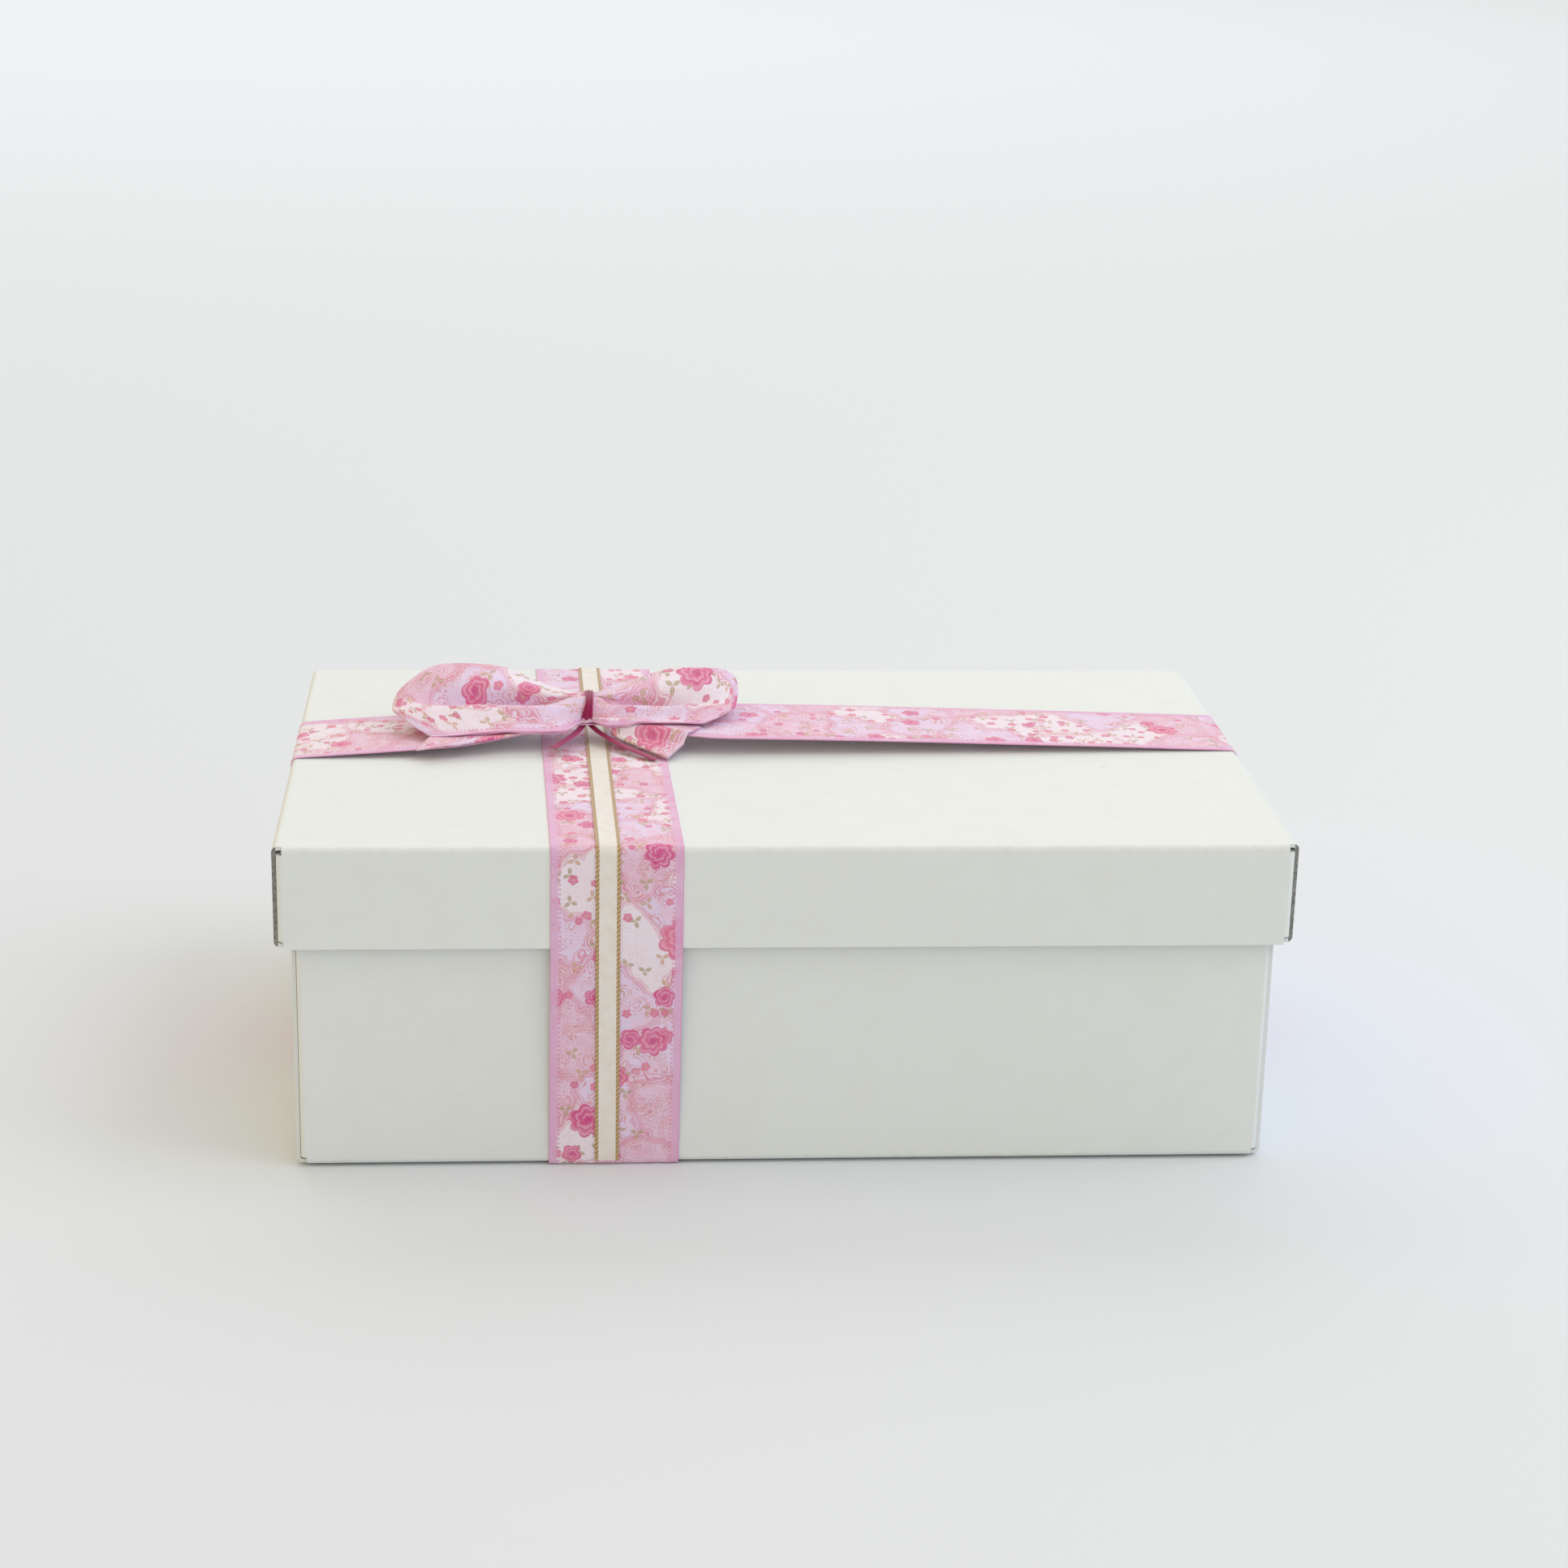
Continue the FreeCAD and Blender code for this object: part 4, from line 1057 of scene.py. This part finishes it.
PHOTO_SIZE = 1932
FOCAL_PIXELS = 4012.4
CAMERA_PLACE = Vector((-75.8, -1019.0, 421.1))
CAMERA_YAW, CAMERA_PITCH, CAMERA_ROLL = (math.radians(angle) for angle in (4.532, 17.798, 1.307))
SENSOR = 36.0
FLOOR_REACH = 12.0
KEY_LIGHT = {"place": (1.2, -0.25, 1.65), "aim": (0, 0, 0.06), "size": 1.3, "shade": (0.97, 0.985, 1.0)}
WASH_LIGHT = {"place": (-0.4, 4.2, 3.4), "aim": (-0.4, 4.4, 0), "size": 5.0, "shade": (0.94, 0.98, 1.04)}
WARM_SIDE, COOL_SIDE = (1.02, 0.8, 0.4), (0.935, 0.964, 1.02)
BACKDROP = (0.93, 0.96, 0.98)


class GIFTBOX_OT_stage(bpy.types.Operator):
    """Set the pale floor, the soft light and the camera"""
    bl_idname = "giftbox.stage"
    bl_label = "Stage"

    def execute(self, context):
        stage = settings("stage")
        scene = context.scene
        bm = bmesh.new()
        bmesh.ops.create_grid(bm, x_segments=1, y_segments=1, size=FLOOR_REACH)
        mesh = bpy.data.meshes.new("floor")
        bm.to_mesh(mesh)
        bm.free()
        floor = bpy.data.objects.new("floor", mesh)
        scene.collection.objects.link(floor)
        material, shader, pen = new_material("floor", 0.9)
        pen.feed(shader, {"Base Color": pen.opaque(stage.floor), "Specular IOR Level": 0.1})
        mesh.materials.append(material)

        self.add_light("key", stage.key_power, **KEY_LIGHT)
        self.add_light("wash", stage.wash_power, **WASH_LIGHT)
        self.set_world(scene, stage.fill)
        self.add_camera(scene)
        scene.view_settings.view_transform = "Standard"
        return {"FINISHED"}

    def add_light(self, name, watts, place, aim, size, shade):
        lamp = bpy.data.lights.new(name, "AREA")
        lamp.energy = watts
        lamp.size = size
        lamp.color = shade
        light = bpy.data.objects.new(name, lamp)
        light.location = place
        light.rotation_euler = (Vector(aim) - Vector(place)).to_track_quat("-Z", "Y").to_euler()
        bpy.context.scene.collection.objects.link(light)

    def set_world(self, scene, strength):
        world = bpy.data.worlds.new("studio")
        world.use_nodes = True
        pen = Pen(world.node_tree)
        backdrop = world.node_tree.nodes["Background"]
        heading = pen.parts(pen.node("TexCoord").outputs["Generated"])[0]
        shade = pen.mix(pen.ramp(heading, -0.75, 0.05), WARM_SIDE, COOL_SIDE)
        seen = pen.node("LightPath").outputs["Is Camera Ray"]
        pen.feed(backdrop, {"Strength": strength, "Color": pen.mix(seen, shade, BACKDROP)})
        scene.world = world

    def add_camera(self, scene):
        flat = math.cos(CAMERA_PITCH)
        ahead = Vector((math.sin(CAMERA_YAW) * flat, math.cos(CAMERA_YAW) * flat, -math.sin(CAMERA_PITCH)))
        level = Vector((math.cos(CAMERA_YAW), -math.sin(CAMERA_YAW), 0))
        above = level.cross(ahead)
        right = level * math.cos(CAMERA_ROLL) + above * math.sin(CAMERA_ROLL)
        up = above * math.cos(CAMERA_ROLL) - level * math.sin(CAMERA_ROLL)
        lens = bpy.data.cameras.new("camera")
        lens.sensor_width = SENSOR
        lens.sensor_fit = "HORIZONTAL"
        lens.lens = SENSOR * FOCAL_PIXELS / PHOTO_SIZE
        lens.clip_start = 0.01
        lens.clip_end = 100.0
        camera = bpy.data.objects.new("camera", lens)
        turned = Matrix((right, up, -ahead)).transposed().to_4x4()
        camera.matrix_world = Matrix.Translation(CAMERA_PLACE * MM) @ turned
        scene.collection.objects.link(camera)
        scene.camera = camera


def declare_sheets():
    """Read the printed ribbon's width; nothing is declared here."""
    width = settings("ribbon").width / MM


class GIFTBOX_PT_panel(bpy.types.Panel):
    """The gift box's pieces and settings"""
    bl_label = "Gift Box"
    bl_idname = "GIFTBOX_PT_panel"
    bl_space_type = "VIEW_3D"
    bl_region_type = "UI"
    bl_category = "Gift Box"

    def draw(self, context):
        for operator in OPERATORS:
            self.layout.operator(operator.bl_idname)
        for name, group in GROUPS.items():
            box = self.layout.box()
            for prop in group.__annotations__:
                box.prop(settings(name), prop)


GROUPS = {"board": GiftBoxBoard, "ribbon": GiftBoxRibbon, "print": GiftBoxPrint, "stage": GiftBoxStage}
OPERATORS = (GIFTBOX_OT_stage, GIFTBOX_OT_board, GIFTBOX_OT_cross_ribbon, GIFTBOX_OT_cream_ribbon,
             GIFTBOX_OT_length_ribbon, GIFTBOX_OT_bow_loops, GIFTBOX_OT_bow_tails, GIFTBOX_OT_bow_tie)
CLASSES = (*GROUPS.values(), *OPERATORS, GIFTBOX_PT_panel)


def register():
    for item in CLASSES:
        bpy.utils.register_class(item)
    for name, group in GROUPS.items():
        setattr(bpy.types.Scene, f"gift_box_{name}", PointerProperty(type=group))


def unregister():
    for name in GROUPS:
        delattr(bpy.types.Scene, f"gift_box_{name}")
    for item in reversed(CLASSES):
        bpy.utils.unregister_class(item)


def main():
    """Build the whole gift box."""
    register()
    for operator in OPERATORS:
        category, name = operator.bl_idname.split(".")
        getattr(getattr(bpy.ops, category), name)()
    declare_sheets()


if __name__ == "__main__":
    main()
